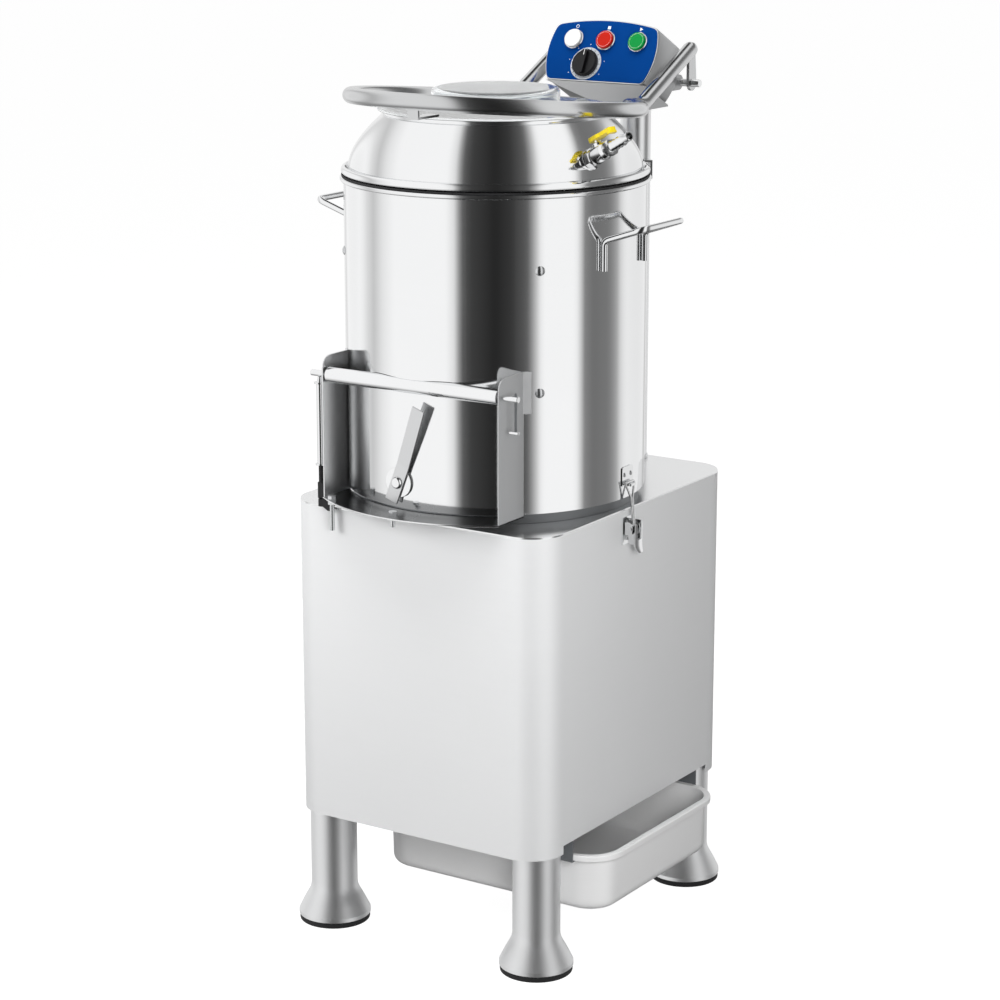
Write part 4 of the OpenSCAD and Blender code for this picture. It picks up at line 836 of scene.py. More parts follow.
@dataclass
class Drum:
    """The drum's wall with its rolled rim, seat ring, gasket and two lifting handles."""

    wall: float = 2.0
    bead: float = 3.0
    bead_out: float = 4.7
    window_half: float = 122.9
    window_low: float = 592.5
    window_high: float = 733.1
    notch_half: float = 73.0
    notch_high: float = 749.0
    sleeve_y: float = -184.0
    sleeve_z: float = 738.0
    sleeve_room: float = 10.3
    handle_r: float = 4.0
    handle_half: float = 48.0
    handle_bend: float = 11.0
    foot_bend: float = 9.0
    handle_rise: float = 18.0
    seat_in: float = 176.0
    seat_out: float = 182.0
    seat_low: float = 571.0
    seat_tall: float = 13.5
    floor_thick: float = 2.5
    gasket_in: float = 188.2
    gasket_out: float = 192.6

    def build(self) -> None:
        """Makes the wall, the rim, the seat, the gasket and the handles."""
        self.low, self.high = span("drum_shell")
        self.radius = (span("drum_floor")[1] - span("drum_floor")[0])[0] / 2 + 2.15
        self.make_wall()
        self.make_rings()
        for side, word in ((-1, "left"), (1, "right")):
            self.handle(side, word)

    def make_wall(self) -> None:
        """Makes the wall: (R cos t, R sin t, z), open at the window and at the hinge sleeve."""
        edges = [np.arccos(half / self.radius) for half in (self.window_half, self.notch_half)]
        turns = np.concatenate([np.linspace(0, 2 * np.pi, 288, endpoint=False),
                                *[[2 * np.pi - edge, np.pi + edge] for edge in edges]])
        turns = np.unique(np.round(turns, 6))
        levels = np.array([self.low[2], self.window_low, self.window_high, self.notch_high,
                           self.high[2] - 2 * self.bead, self.high[2] - self.bead])
        behind = self.radius * np.sin(turns) - self.sleeve_y
        lifted = self.sleeve_z + np.sqrt(np.clip(self.sleeve_room**2 - behind**2, 0, None))
        lifted = np.where((np.sin(turns) < 0) & (lifted > self.window_high), lifted, self.notch_high)

        def sheet(radius: float) -> Array:
            """Returns the wall's grid at a radius.

            Args:
                radius: the radius.

            Returns:
                The grid.
            """
            grid = np.empty((len(levels), len(turns), 3))
            grid[..., 0] = radius * np.cos(turns)
            grid[..., 1] = radius * np.sin(turns)
            grid[..., 2] = levels[:, None]
            grid[3, :, 2] = lifted
            return grid

        def keep(middle: Array) -> Array:
            """Leaves out the faces in the window and in the notch for the sleeve.

            Args:
                middle: the middles of the faces.

            Returns:
                Whether each face is kept.
            """
            front = middle[:, 1] < 0
            tall = (middle[:, 2] > self.window_low) & (middle[:, 2] < self.window_high)
            window = front & tall & (np.abs(middle[:, 0]) < self.window_half)
            above = (middle[:, 2] > self.window_high) & (middle[:, 2] < self.notch_high)
            notch = front & above & (np.abs(middle[:, 0]) < self.notch_half)
            return ~(window | notch)

        shape = Shape().shell(sheet(self.radius), sheet(self.radius - self.wall), True, keep)
        shape.piece("drum_wall", POLISHED, replaces=["drum_shell"])

    def make_rings(self) -> None:
        """Makes the rolled rim, the seat ring under the drum and the gasket on top."""
        middle = self.high[2] - self.bead
        bead = Shape().turned(arc((self.radius + self.bead_out - self.bead, middle), self.bead, 0, 345, 23),
                              segments=192)
        bead.piece("drum_rim", BRIGHT)
        low, high = span("drum_floor")
        seat_top = low[2] + self.seat_tall
        seat = eased([(self.seat_in, self.seat_low), (self.seat_out, self.seat_low),
                      (self.seat_out, seat_top), (self.seat_in, seat_top)], 0.5)
        seat[:, 1] = np.clip(seat[:, 1], low[2], high[2])
        under, edge = high[2] - self.floor_thick, self.radius - self.wall - 0.2
        floor = eased([(CORE, under), (edge, under), (edge, high[2]), (CORE, high[2])], [0, 0.3, 0.3, 0])
        shape = Shape().turned(seat, segments=144).turned(floor, segments=144)
        # The seat ring and the drum's floor take the darkened steel, painted shade for the gap under the
        # drum.
        shape.piece("seat_ring", SHADE_DARK_STEEL, replaces=["drum_floor"])
        low, high = span("rim_gasket")
        gasket = eased([(self.gasket_in, low[2]), (self.gasket_out, low[2]),
                        (self.gasket_out, high[2]), (self.gasket_in, high[2])], 0.8)
        Shape().turned(gasket, segments=192).piece("gasket_ring", RUBBER, replaces=["rim_gasket"])

    def handle(self, side: int, word: str) -> None:
        """Makes a lifting handle from a rod bent up, out and across.

        Args:
            side: -1 for the left and 1 for the right.
            word: the side's name.
        """
        low, high = span(f"drum_handle_{word}")
        foot = np.sqrt((self.radius + self.handle_r + 0.01) ** 2 - self.handle_half**2)
        out = max(abs(low[0]), abs(high[0])) - self.handle_r
        top = high[2] - self.handle_r
        rise = top - self.handle_rise
        half = self.handle_half
        route = [(foot, -half, low[2] + 0.4), (foot, -half, rise), (out, -half, top),
                 (out, half, top), (foot, half, rise), (foot, half, low[2] + 0.4)]
        bends = [0, self.foot_bend, self.handle_bend, self.handle_bend, self.foot_bend, 0]
        path = eased(np.array(route) * [side, 1, 1], bends, 8, closed=False)
        shape = Shape().tube(path, self.handle_r, 20)
        shape.piece(f"lifting_handle_{word}", BRIGHT, replaces=[f"drum_handle_{word}"])


@dataclass
class Dome:
    """The domed cover with its rolled flange and the lip of its feed mouth."""

    shoulder: float = 82.0
    inset: float = 88.0
    bow: float = 1013.0
    flange_tall: float = 6.0
    thick: float = 1.5
    mouth: float = 139.0
    roll: float = 5.0
    lip_roll: float = 3.0

    def build(self) -> None:
        """Makes the cover by turning one closed profile."""
        low, high = span("dome_cover")
        middle = span("rim_gasket")[1][0] - 2 - self.inset
        flange, out = low[2], high[0]
        lip = high[2] - self.lip_roll

        def crown(inset: float) -> Array:
            """Returns the shoulder (1-t)^2 A + 2t(1-t) C + t^2 B, from the flange up to the lip.

            Args:
                inset: how far it lies inside the outer face.

            Returns:
                Its points, as radius and height.
            """
            a = np.array([middle + self.shoulder - inset, flange + self.thick + self.flange_tall])
            b = np.array([self.mouth + 2 - inset, lip - 2.5 - inset])
            c = np.array([a[0], self.bow])
            t = np.linspace(0, 1, 61)[:, None]
            return (1 - t) ** 2 * a + 2 * t * (1 - t) * c + t**2 * b

        step = out - self.roll - 2
        profile = np.concatenate([
            arc((out - self.roll, flange + self.roll), self.roll, 270, 450, 14),
            [[step, flange + self.roll], [step, flange + self.thick]],
            crown(0.0),
            [[self.mouth, lip - self.lip_roll]],
            arc((self.mouth - self.thick, lip), self.lip_roll, -60, 240, 18),
            [[self.mouth - self.thick, lip - self.lip_roll]],
            crown(self.thick)[::-1],
        ])
        shape = Shape().turned(profile, segments=256)
        shape.piece("dome", POLISHED, replaces=["dome_cover"])


@dataclass
class Chute:
    """The discharge chute: cheeks, floor, the hinged door with its lever, and the tie post."""

    half: float = 129.0
    cheek: float = 2.0
    front: float = -193.0
    round_top: float = 18.0
    floor_low: float = 581.0
    floor_thick: float = 2.0
    hinge_y: float = -184.0
    hinge_z: float = 738.0
    sleeve_r: float = 9.75
    rod_r: float = 4.0
    door_half: float = 126.4
    door_r: float = 190.5
    door_thick: float = 2.0
    door_low: float = 591.0
    lever_x: float = -15.0
    lever_z: float = 617.5
    lever_lean: float = 21.5
    lever_half: float = 9.0
    lever_long: float = 105.0
    lever_tail: float = 26.0
    lever_kink: float = 24.0
    lever_lift: float = 9.0
    boss_r: float = 19.0
    boss_thick: float = 3.0
    lever_thick: float = 2.5
    stud_r: float = 3.0
    head_r: float = 7.5
    pin_r: float = 1.7
    pin_drop: float = 41.0
    cross_r: float = 2.4
    drum_r: float = 190.0
    flange_wide: float = 9.0
    flange_tall: float = 52.0
    post_in: float = 5.0
    post_bare: float = 42.0
    tube_r: float = 4.6
    collar_r: float = 7.4
    thread_r: float = 3.0
    foot_reach: float = 10.0
    foot_wide: float = 29.0

    def build(self) -> None:
        """Makes the chute's pieces."""
        self.cheeks()
        self.door()
        self.lever()
        self.rods()

    def cheeks(self) -> None:
        """Makes the two cheeks with their riveted flanges, and the floor with its curved front edge."""
        top = span("chute_frame")[1][2]
        half = self.half + self.cheek
        back = -np.sqrt(self.drum_r**2 - half**2)
        low = self.floor_low
        outline = eased([(self.front, low), (back, low), (back, top), (self.front, top)],
                        [0, 0, 0, self.round_top], 8)
        for side in (-1, 1):
            shape = Shape()
            start = self.half if side > 0 else -half
            shape.plate(outline, 0, self.cheek, Place(RIGHT * start, BACK, UP))
            reach = np.linspace(self.half + 0.5, self.half + self.flange_wide, 5)
            turns = np.arcsin(reach / (self.drum_r + 1)) * side
            levels = np.linspace(top - self.flange_tall, top, 3)
            strip = np.stack([np.sin(turns), -np.cos(turns), 0 * turns], axis=-1)[None]
            lift = UP * levels[:, None, None]
            shape.shell(strip * (self.drum_r + self.cheek) + lift, strip * (self.drum_r + 0.1) + lift)
            # The right cheek takes the steel darkened for painted shade; the left one keeps the plain soft
            # steel.
            word, finish = ("right", SHADED_CHEEK) if side > 0 else ("left", SOFT_STEEL)
            nodes = ["chute_frame"] if side > 0 else []
            shape.piece(f"chute_cheek_{word}", finish, replaces=nodes, bevel=0.5)
        shape = Shape()
        front = span("chute_frame")[0][1] + self.floor_thick / 2 + 0.2
        sag = self.front - front
        radius = (half**2 + sag**2) / (2 * sag)
        reach = np.degrees(np.arcsin(half / radius))
        lip = arc((0, front + radius), radius, 270 - reach, 270 + reach, 40)
        rear_r = self.drum_r + 0.05
        inside = np.degrees(np.arcsin(half / rear_r))
        rear = arc((0, 0), rear_r, 270 + inside, 270 - inside, 48)
        shape.plate(np.concatenate([lip, rear]), self.floor_low, self.floor_low + self.floor_thick)
        # The floor is painted dark for the shade under the door; the bright lip along its front edge keeps
        # the steel's own tone.
        shape.piece("chute_floor", SHADED_CHUTE_FLOOR, bevel=0.4)
        edge = np.column_stack([lip, np.full(len(lip), self.floor_low + self.floor_thick / 2)])
        edge[:, 1] -= 0.2
        Shape().tube(edge, self.floor_thick / 2, 12).piece("chute_lip", BRIGHT)

    def door(self) -> None:
        """Makes the door: a panel on the drum's curve, a closing strip, the sleeve and the lever's stud."""
        top = self.hinge_z - self.sleeve_r
        reach = np.arcsin(self.door_half / self.door_r)
        turns = np.linspace(-reach, reach, 65)
        levels = np.array([self.door_low, top])
        curve = np.stack([np.sin(turns), -np.cos(turns), 0 * turns], axis=-1)[None]
        lift = UP * levels[:, None, None]
        shape = Shape()
        shape.shell(curve * (self.door_r + self.door_thick) + lift, curve * self.door_r + lift)
        outside = self.door_r + self.door_thick
        front = np.stack([outside * np.sin(turns), -outside * np.cos(turns)], axis=-1)
        line = np.stack([front[:, 0], np.full(len(turns), self.hinge_y)], axis=-1)
        strip = np.stack([front, line])
        low = np.concatenate([strip, np.full((2, len(turns), 1), top)], axis=-1)
        shape.shell(low + [0, 0, self.door_thick], low)
        sleeve = eased([(self.rod_r + 0.1, -self.door_half), (self.sleeve_r, -self.door_half),
                        (self.sleeve_r, self.door_half), (self.rod_r + 0.1, self.door_half)], 0.6)
        shape.turned(sleeve, along((0, self.hinge_y, self.hinge_z), (1, 0, 0)), 64)
        shape.piece("discharge_door", POLISHED, "door", ["chute_door"])
        stud = along((self.lever_x, -outside, self.lever_z), (0, -1, 0))
        reach = self.boss_thick + self.lever_thick + 0.3
        pin = eased([(CORE, -1.5), (self.stud_r, -1.5), (self.stud_r, reach), (CORE, reach)], [0, 0, 0, 0])
        head = eased([(CORE, reach), (self.head_r, reach), (self.head_r, reach + 1),
                      (self.head_r - 1.5, reach + 3.4), (CORE, reach + 4)], [0, 0.3, 0.8, 2, 0])
        Shape().turned(pin, stud, 24).turned(head, stud, 40).piece("lever_stud", BRIGHT, "door")

    def lever(self) -> None:
        """Makes the flat lever, bent outwards past its round boss, and the boss."""
        lean = np.radians(self.lever_lean)
        x = np.array([np.cos(lean), 0.0, -np.sin(lean)])
        y = np.array([np.sin(lean), 0.0, np.cos(lean)])
        place = Place(np.array([self.lever_x, -self.door_r - self.door_thick, self.lever_z]), x, y)
        half = self.lever_half
        boss = eased([(self.stud_r + 0.05, 0.3), (self.boss_r, 0.3), (self.boss_r, self.boss_thick),
                      (self.stud_r + 0.05, self.boss_thick)], 0.6)
        low = self.boss_thick + 0.1
        line = eased([(-self.lever_tail, low), (self.lever_kink, low),
                      (self.lever_long, low + self.lever_lift)], [0, 30, 0], 12, closed=False)
        line = np.column_stack([np.interp(np.linspace(0, len(line) - 1, 90), np.arange(len(line)), line[:, i])
                                for i in (0, 1)])
        across = np.linspace(-half, half, 5) + np.zeros((len(line), 1))
        under = np.stack([across, line[:, 0, None] + 0 * across, line[:, 1, None] + 0 * across], axis=-1)
        over = under + [0, 0, self.lever_thick]
        shape = Shape().shell(place.put(over), place.put(under))
        shape.piece("locking_lever", LEVER, "lever", ["door_lever"], bevel=0.5)
        Shape().turned(boss, place, 64).piece("lever_boss", POLISHED, "lever")

    def rods(self) -> None:
        """Makes the hinge rod, and the tie post that hangs from its left end."""
        low, high = span("hinge_rod")
        profile = eased([(CORE, low[0]), (self.rod_r, low[0]), (self.rod_r, high[0]), (CORE, high[0])],
                        [0, 0.8, 0.8, 0])
        rod = Shape().turned(profile, along((0, self.hinge_y, self.hinge_z), (1, 0, 0)), 32)
        pin_x = high[0] - 4
        drop = self.hinge_z - self.pin_drop
        hang = np.column_stack([np.full(5, pin_x), np.full(5, self.hinge_y),
                                np.linspace(self.hinge_z + 6, drop, 5)])
        # The keeper pin takes the same steel darkened for painted shade.
        Shape().tube(hang, self.pin_r, 14, domed=self.pin_r).piece("hinge_keeper", SHADE_DARK_STEEL)
        cross = np.column_stack([np.linspace(pin_x - 8, pin_x + 4, 5), np.full(5, self.hinge_y),
                                 np.full(5, drop)])
        rod.tube(cross, self.cross_r, 16, domed=self.cross_r / 2)
        rod.piece("hinge_bar", BRIGHT, replaces=["hinge_rod"])
        low, high = span("tie_post")
        post_x = low[0] + self.post_in
        post = Place(np.array([post_x, self.hinge_y, 0.0]))
        mid, top = self.floor_low + self.post_bare, high[2]
        collar = self.collar_r
        sleeve = eased([(CORE, mid - 2), (7, mid - 2), (7, mid), (self.tube_r, mid), (self.tube_r, top - 9),
                        (collar, top - 9), (collar, top - 7), (4, top - 7), (2.5, top), (CORE, top)],
                       [0, 0.5, 0.3, 0, 0, 0.4, 0.4, 0, 1, 0])
        Shape().turned(sleeve, post, 32).piece("tie_sleeve", BRIGHT, replaces=["tie_post"])
        thread = eased([(CORE, low[2]), (self.thread_r, low[2]), (self.thread_r, mid - 2), (CORE, mid - 2)],
                       [0, 0.6, 0, 0])
        rod = Shape().turned(thread, post, 24)
        self.post_foot(rod, Place(np.array([post_x, self.hinge_y, self.floor_low]), RIGHT, UP))
        rod.piece("tie_rod", RUBBER, bevel=0.4)

    def post_foot(self, rod: Shape, foot: Place) -> None:
        """Adds the post's foot: a cheek beside the thread, a bridge under the floor and a toe.

        Args:
            rod: where it is added.
            foot: the foot's axes, at the thread and the floor's underside.
        """
        half, reach, wide = self.thread_r + 0.2, self.foot_reach, self.foot_wide
        near, under = reach / 2, -0.5
        cheek = eased([(-half, 18), (half, 18), (reach, under), (reach, -reach), (near, -reach),
                       (-half, -2)], [0, 2, 0, 0, 2, 2])
        rod.plate(cheek, -half, half, foot)
        rod.plate([[near, -reach], [reach, -reach], [reach, under], [near, under]], half + 0.1, 13.5, foot)
        toe = eased([(near, under), (wide, under), (wide, -4), (wide - 5, -14), (wide - 10, -14),
                     (near, -6)], [0, 1, 1, 1, 1, 2])
        rod.plate(toe, 9.5, 13.4, foot)


@dataclass
class Latches:
    """The two toggle latches, drawn for the right side and turned half round for the left."""

    y: float = 8.0
    keeper_x: float = 190.2
    keeper_half: float = 13.0
    keeper_tall: float = 24.0
    hook_half: float = 6.0
    hook_out: float = 200.0
    hook_thick: float = 2.5
    rivet_y: float = 7.5
    rivet_up: float = 14.0
    base_half: float = 15.0
    base_x: float = 194.0
    base_thick: float = 1.95
    base_low: float = 526.0
    base_high: float = 561.0
    screws_up: tuple[float, float] = (6.0, 15.0)
    ear: float = 10.5
    ear_thick: float = 2.0
    ear_half: float = 8.0
    ear_out: float = 206.0
    pin_x: float = 202.0
    pin_z: float = 547.0
    pin_in: float = 7.0
    lug: float = 9.0
    lug_thick: float = 2.0
    lug_in: float = 198.0
    blade_x: float = 207.5
    blade_thick: float = 2.2
    blade_curl: float = 3.2
    blade_bow: float = 1.4
    blade_over: float = 5.5
    lever_end: float = 516.0
    slot_half: float = 4.3
    slot_under: float = 14.0
    wire_r: float = 1.5
    wire_x: float = 194.3
    wire_z: float = 604.8
    wire_half: float = 11.0
    neck_half: float = 1.8
    neck_under: float = 20.0
    hang_under: float = 8.0

    def build(self) -> None:
        """Makes both latches."""
        keepers, bases = Shape(), Shape()
        for side, word in ((1, "right"), (-1, "left")):
            flat = Place(BACK * self.y, RIGHT * side, BACK * side)
            self.keeper(keepers, flat)
            self.base(bases, flat)
            self.lever(flat, word)
            self.bail(flat, word)
        keepers.piece("hook_plates", BRIGHT, replaces=["latch_keepers"], bevel=0.3)
        bases.piece("toggle_bases", BRIGHT, replaces=["latch_bases"], bevel=0.3)

    def keeper(self, shape: Shape, flat: Place) -> None:
        """Adds a keeper plate with two rivets and its hook.

        Args:
            shape: where they are added.
            flat: the latch's axes, with x outwards and z up.
        """
        low = span("latch_keepers")[0][2]
        top, half = low + self.keeper_tall, self.keeper_half
        upright = Place(flat.put(RIGHT * self.keeper_x), flat.y, UP)
        plate = eased([(-half, low), (half, low), (half, top), (-half, top)], [1, 1, 4, 4])
        shape.plate(plate, 0, 1, upright)
        lip, hook, out = low + self.hook_thick, self.hook_half, self.hook_out
        shape.box((self.keeper_x + 0.3, -hook, low), (out, hook, lip), flat)
        shape.box((out - self.hook_thick, -hook, lip), (out, hook, lip + 0.5), flat)
        head = [(CORE, 0), (3, 0), (2.6, 1), (1.6, 1.5), (CORE, 1.7)]
        for y in (-self.rivet_y, self.rivet_y):
            spot = flat.put(np.array([self.keeper_x + 0.9, y, low + self.rivet_up]))
            shape.turned(head, along(spot, flat.x), 20)

    def base(self, shape: Shape, flat: Place) -> None:
        """Adds a base plate with two ears, their stub pins and two screws.

        Args:
            shape: where they are added.
            flat: the latch's axes, with x outwards and z up.
        """
        shape.box((self.base_x - self.base_thick, -self.base_half, self.base_low),
                  (self.base_x, self.base_half, self.base_high), flat)
        low, high = self.pin_z - self.ear_half, self.pin_z + self.ear_half
        outline = eased([(self.base_x, low), (self.ear_out, low), (self.ear_out, high), (self.base_x, high)],
                        [0, 5, 5, 0])
        stub = [(CORE, 0), (2, 0), (2, 5.5), (3, 5.5), (3, 6.3), (CORE, 6.8)]
        for sign in (-1, 1):
            start = min(sign * self.ear, sign * (self.ear + self.ear_thick))
            upright = Place(flat.put(BACK * start), flat.x, UP)
            shape.plate(outline, -self.ear_thick, 0, upright)
            spot = flat.put(np.array([self.pin_x, sign * self.pin_in, self.pin_z]))
            shape.turned(stub, along(spot, flat.y * sign), 20)
        head = [(CORE, 0), (3.2, 0), (2.8, 1), (1.6, 1.7), (CORE, 1.9)]
        for up in self.screws_up:
            spot = flat.put(np.array([self.base_x, 0, self.base_low + up]))
            shape.turned(head, along(spot, flat.x), 20)

    def lever(self, flat: Place, word: str) -> None:
        """Makes a toggle lever with a curled tip and two lugs.

        With h from 0 at the tip to 1 and a from -1 to 1 across, the blade's inner face stands at
        x + curl (1 - h / 0.35)^2 - bow a^2, and it is narrower where h is under 0.3.

        Args:
            flat: the latch's axes, with x outwards and z up.
            word: the side's name.
        """
        low, high = self.lever_end, self.pin_z + self.blade_over
        heights = np.linspace(0, 1, 25)[:, None]
        across = np.linspace(-1, 1, 9)[None, :]
        narrow = np.where(heights < 0.3, 1 - 0.45 * (1 - heights / 0.3) ** 2, 1.0)
        curl = self.blade_curl * np.clip(1 - heights / 0.35, 0, 1) ** 2
        out = self.blade_x + curl - self.blade_bow * across**2 * narrow
        rise = low + (high - low) * heights + 0 * across
        blade = np.stack([out, across * self.lug * narrow, rise], axis=-1)

        def open_slot(middle: Array) -> Array:
            """Leaves out the faces in the slot that the wire passes through."""
            beside = np.abs(middle[:, 1] - self.y) < self.slot_half
            return ~(beside & (middle[:, 2] > self.pin_z - self.slot_under))

        shape = Shape().shell(flat.put(blade + RIGHT * self.blade_thick), flat.put(blade), keep=open_slot)
        for sign in (-1, 1):
            y0, y1 = sorted((sign * self.lug, sign * (self.lug - self.lug_thick)))
            shape.box((self.lug_in, y0, self.pin_z - 20), (self.blade_x + 0.1, y1, self.pin_z + 4), flat)
        shape.piece(f"toggle_lever_{word}", BRIGHT, f"latch_{word}", [f"latch_lever_{word}"], bevel=0.6)

    def bail(self, flat: Place, word: str) -> None:
        """Makes the latch's bent wire.

        Args:
            flat: the latch's axes, with x outwards and z up.
            word: the side's name.
        """
        low = self.pin_z - self.hang_under
        neck = self.wire_z - self.neck_under
        neck_x = self.pin_x + (self.wire_x - self.pin_x) * 0.6
        half = np.array([(self.pin_x, self.lug, low), (self.pin_x, self.neck_half, low),
                         (neck_x, self.neck_half, neck), (self.wire_x, self.wire_half, self.wire_z)])
        route = np.concatenate([half * [1, -1, 1], half[::-1]])
        path = eased(flat.put(route), [0, 2, 3, 2.5, 2.5, 3, 2, 0], 8, closed=False)
        wire = Shape().tube(path, self.wire_r, 14)
        wire.piece(f"latch_wire_{word}", BRIGHT, f"bail_{word}", [f"latch_bail_{word}"])


@dataclass
class Valve:
    """The water valve on the dome's shoulder, with its lever and hose tail."""

    turn: float = -16.5
    rise: float = 27.0
    height: float = 1009.5
    shoulder_in: float = 102.0
    shoulder_z: float = 971.5
    shoulder_r: float = 82.0
    stem_at: float = 22.5
    stem_high: float = 22.0
    stem_r: float = 4.0
    neck_r: float = 9.4
    round_r: float = 11.0
    nut_r: float = 13.0
    end_nut_r: float = 10.2
    tail_at: float = 45.0
    tail_r: float = 5.5
    barb_r: float = 7.0
    barb_long: float = 6.5
    lever_long: float = 32.0
    lever_half: float = 6.0
    lever_thick: float = 4.6
    tip_drop: float = 2.6
    hub_r: float = 7.5
    hub_back: float = 10.0

    def build(self) -> None:
        """Makes the body, the lever and the tail."""
        turn, rise = np.radians(self.turn), np.radians(self.rise)
        radius = self.shoulder_in + np.sqrt(self.shoulder_r**2 - (self.height - self.shoulder_z) ** 2)
        level = np.array([np.cos(turn), np.sin(turn), 0.0])
        axis = level * np.cos(rise) + UP * np.sin(rise)
        up = -level * np.sin(rise) + UP * np.cos(rise)
        self.place = Place(level * radius + UP * self.height, up, np.cross(axis, up))
        self.body()
        self.lever()

    def body(self) -> None:
        """Makes the neck, hexagons, round middle, stem and barbed tail."""
        shape = Shape()
        nut, neck, middle_r, stem_r = self.nut_r, self.neck_r, self.round_r, self.stem_r
        collar = eased([(CORE, -4), (9, -4), (9, 1), (nut, 1), (nut, 2.5), (CORE, 2.5)],
                       [0, 0, 0, 0.3, 0.3, 0])
        shape.turned(collar, self.place, 48)
        shape.plate(arc((0, 0), nut, 0, 300, 5), 2.6, 10, self.place)
        middle = eased([(CORE, 10), (neck, 10), (middle_r, 14), (middle_r, 31), (neck, 36), (CORE, 36)],
                       [0, 1, 3, 3, 1, 0])
        shape.turned(middle, self.place, 56)
        start, tail = self.tail_at, self.tail_r
        shape.plate(arc((0, 0), self.end_nut_r, 30, 330, 5), 36.1, start, self.place)
        barbs = [(CORE, start), (tail + 0.1, start)]
        for i in range(4):
            foot = start + self.barb_long * i
            barbs += [(self.barb_r, foot + 0.6), (tail, foot + self.barb_long)]
        barbs += [(tail, 77.6), (tail - 0.5, 78), (4, 78), (4, 60), (CORE, 60)]
        shape.turned(np.array(barbs), self.place, 40)
        stem = along(self.place.moved(w=self.stem_at).origin, self.place.x)
        shape.turned(eased([(CORE, 8), (7, 8), (7, 13), (stem_r, 14), (stem_r, self.stem_high),
                            (CORE, self.stem_high)], [0, 0, 1, 0.5, 0.4, 0]), stem, 32)
        shape.piece("water_valve", BRIGHT, replaces=["valve_body"], bevel=0.5)

    def lever(self) -> None:
        """Makes the flat yellow lever, turned down at its tip, with a hole for the stem."""
        stem = self.place.moved(w=self.stem_at)
        side = Place(stem.put(np.array([self.stem_high - 5, 0, 0])), self.place.z, self.place.y)
        flip = -1 if side.z @ self.place.x < 0 else 1
        back, end, half, hub = -self.hub_back, self.lever_long, self.lever_half, self.hub_r
        outline = eased([(back, -hub), (8, -hub), (12, -half), (end, -half), (end, half), (12, half),
                         (8, hub), (back, hub)], [7, 3, 3, 3, 3, 3, 3, 7], 8)
        hole = arc((0, 0), self.stem_r + 0.5, 0, 345, 23)
        shape = Shape().plate(outline, *sorted((0.0, self.lever_thick * flip)), side, [hole])
        tip = eased([(end - 6, -half), (end, -half), (end, half), (end - 6, half)], [0, 1.5, 1.5, 0])
        shape.plate(tip, *sorted((-self.tip_drop * flip, 0.1 * flip)), side)
        shape.piece("tap_lever", YELLOW, "valve", ["valve_lever"], bevel=0.6)


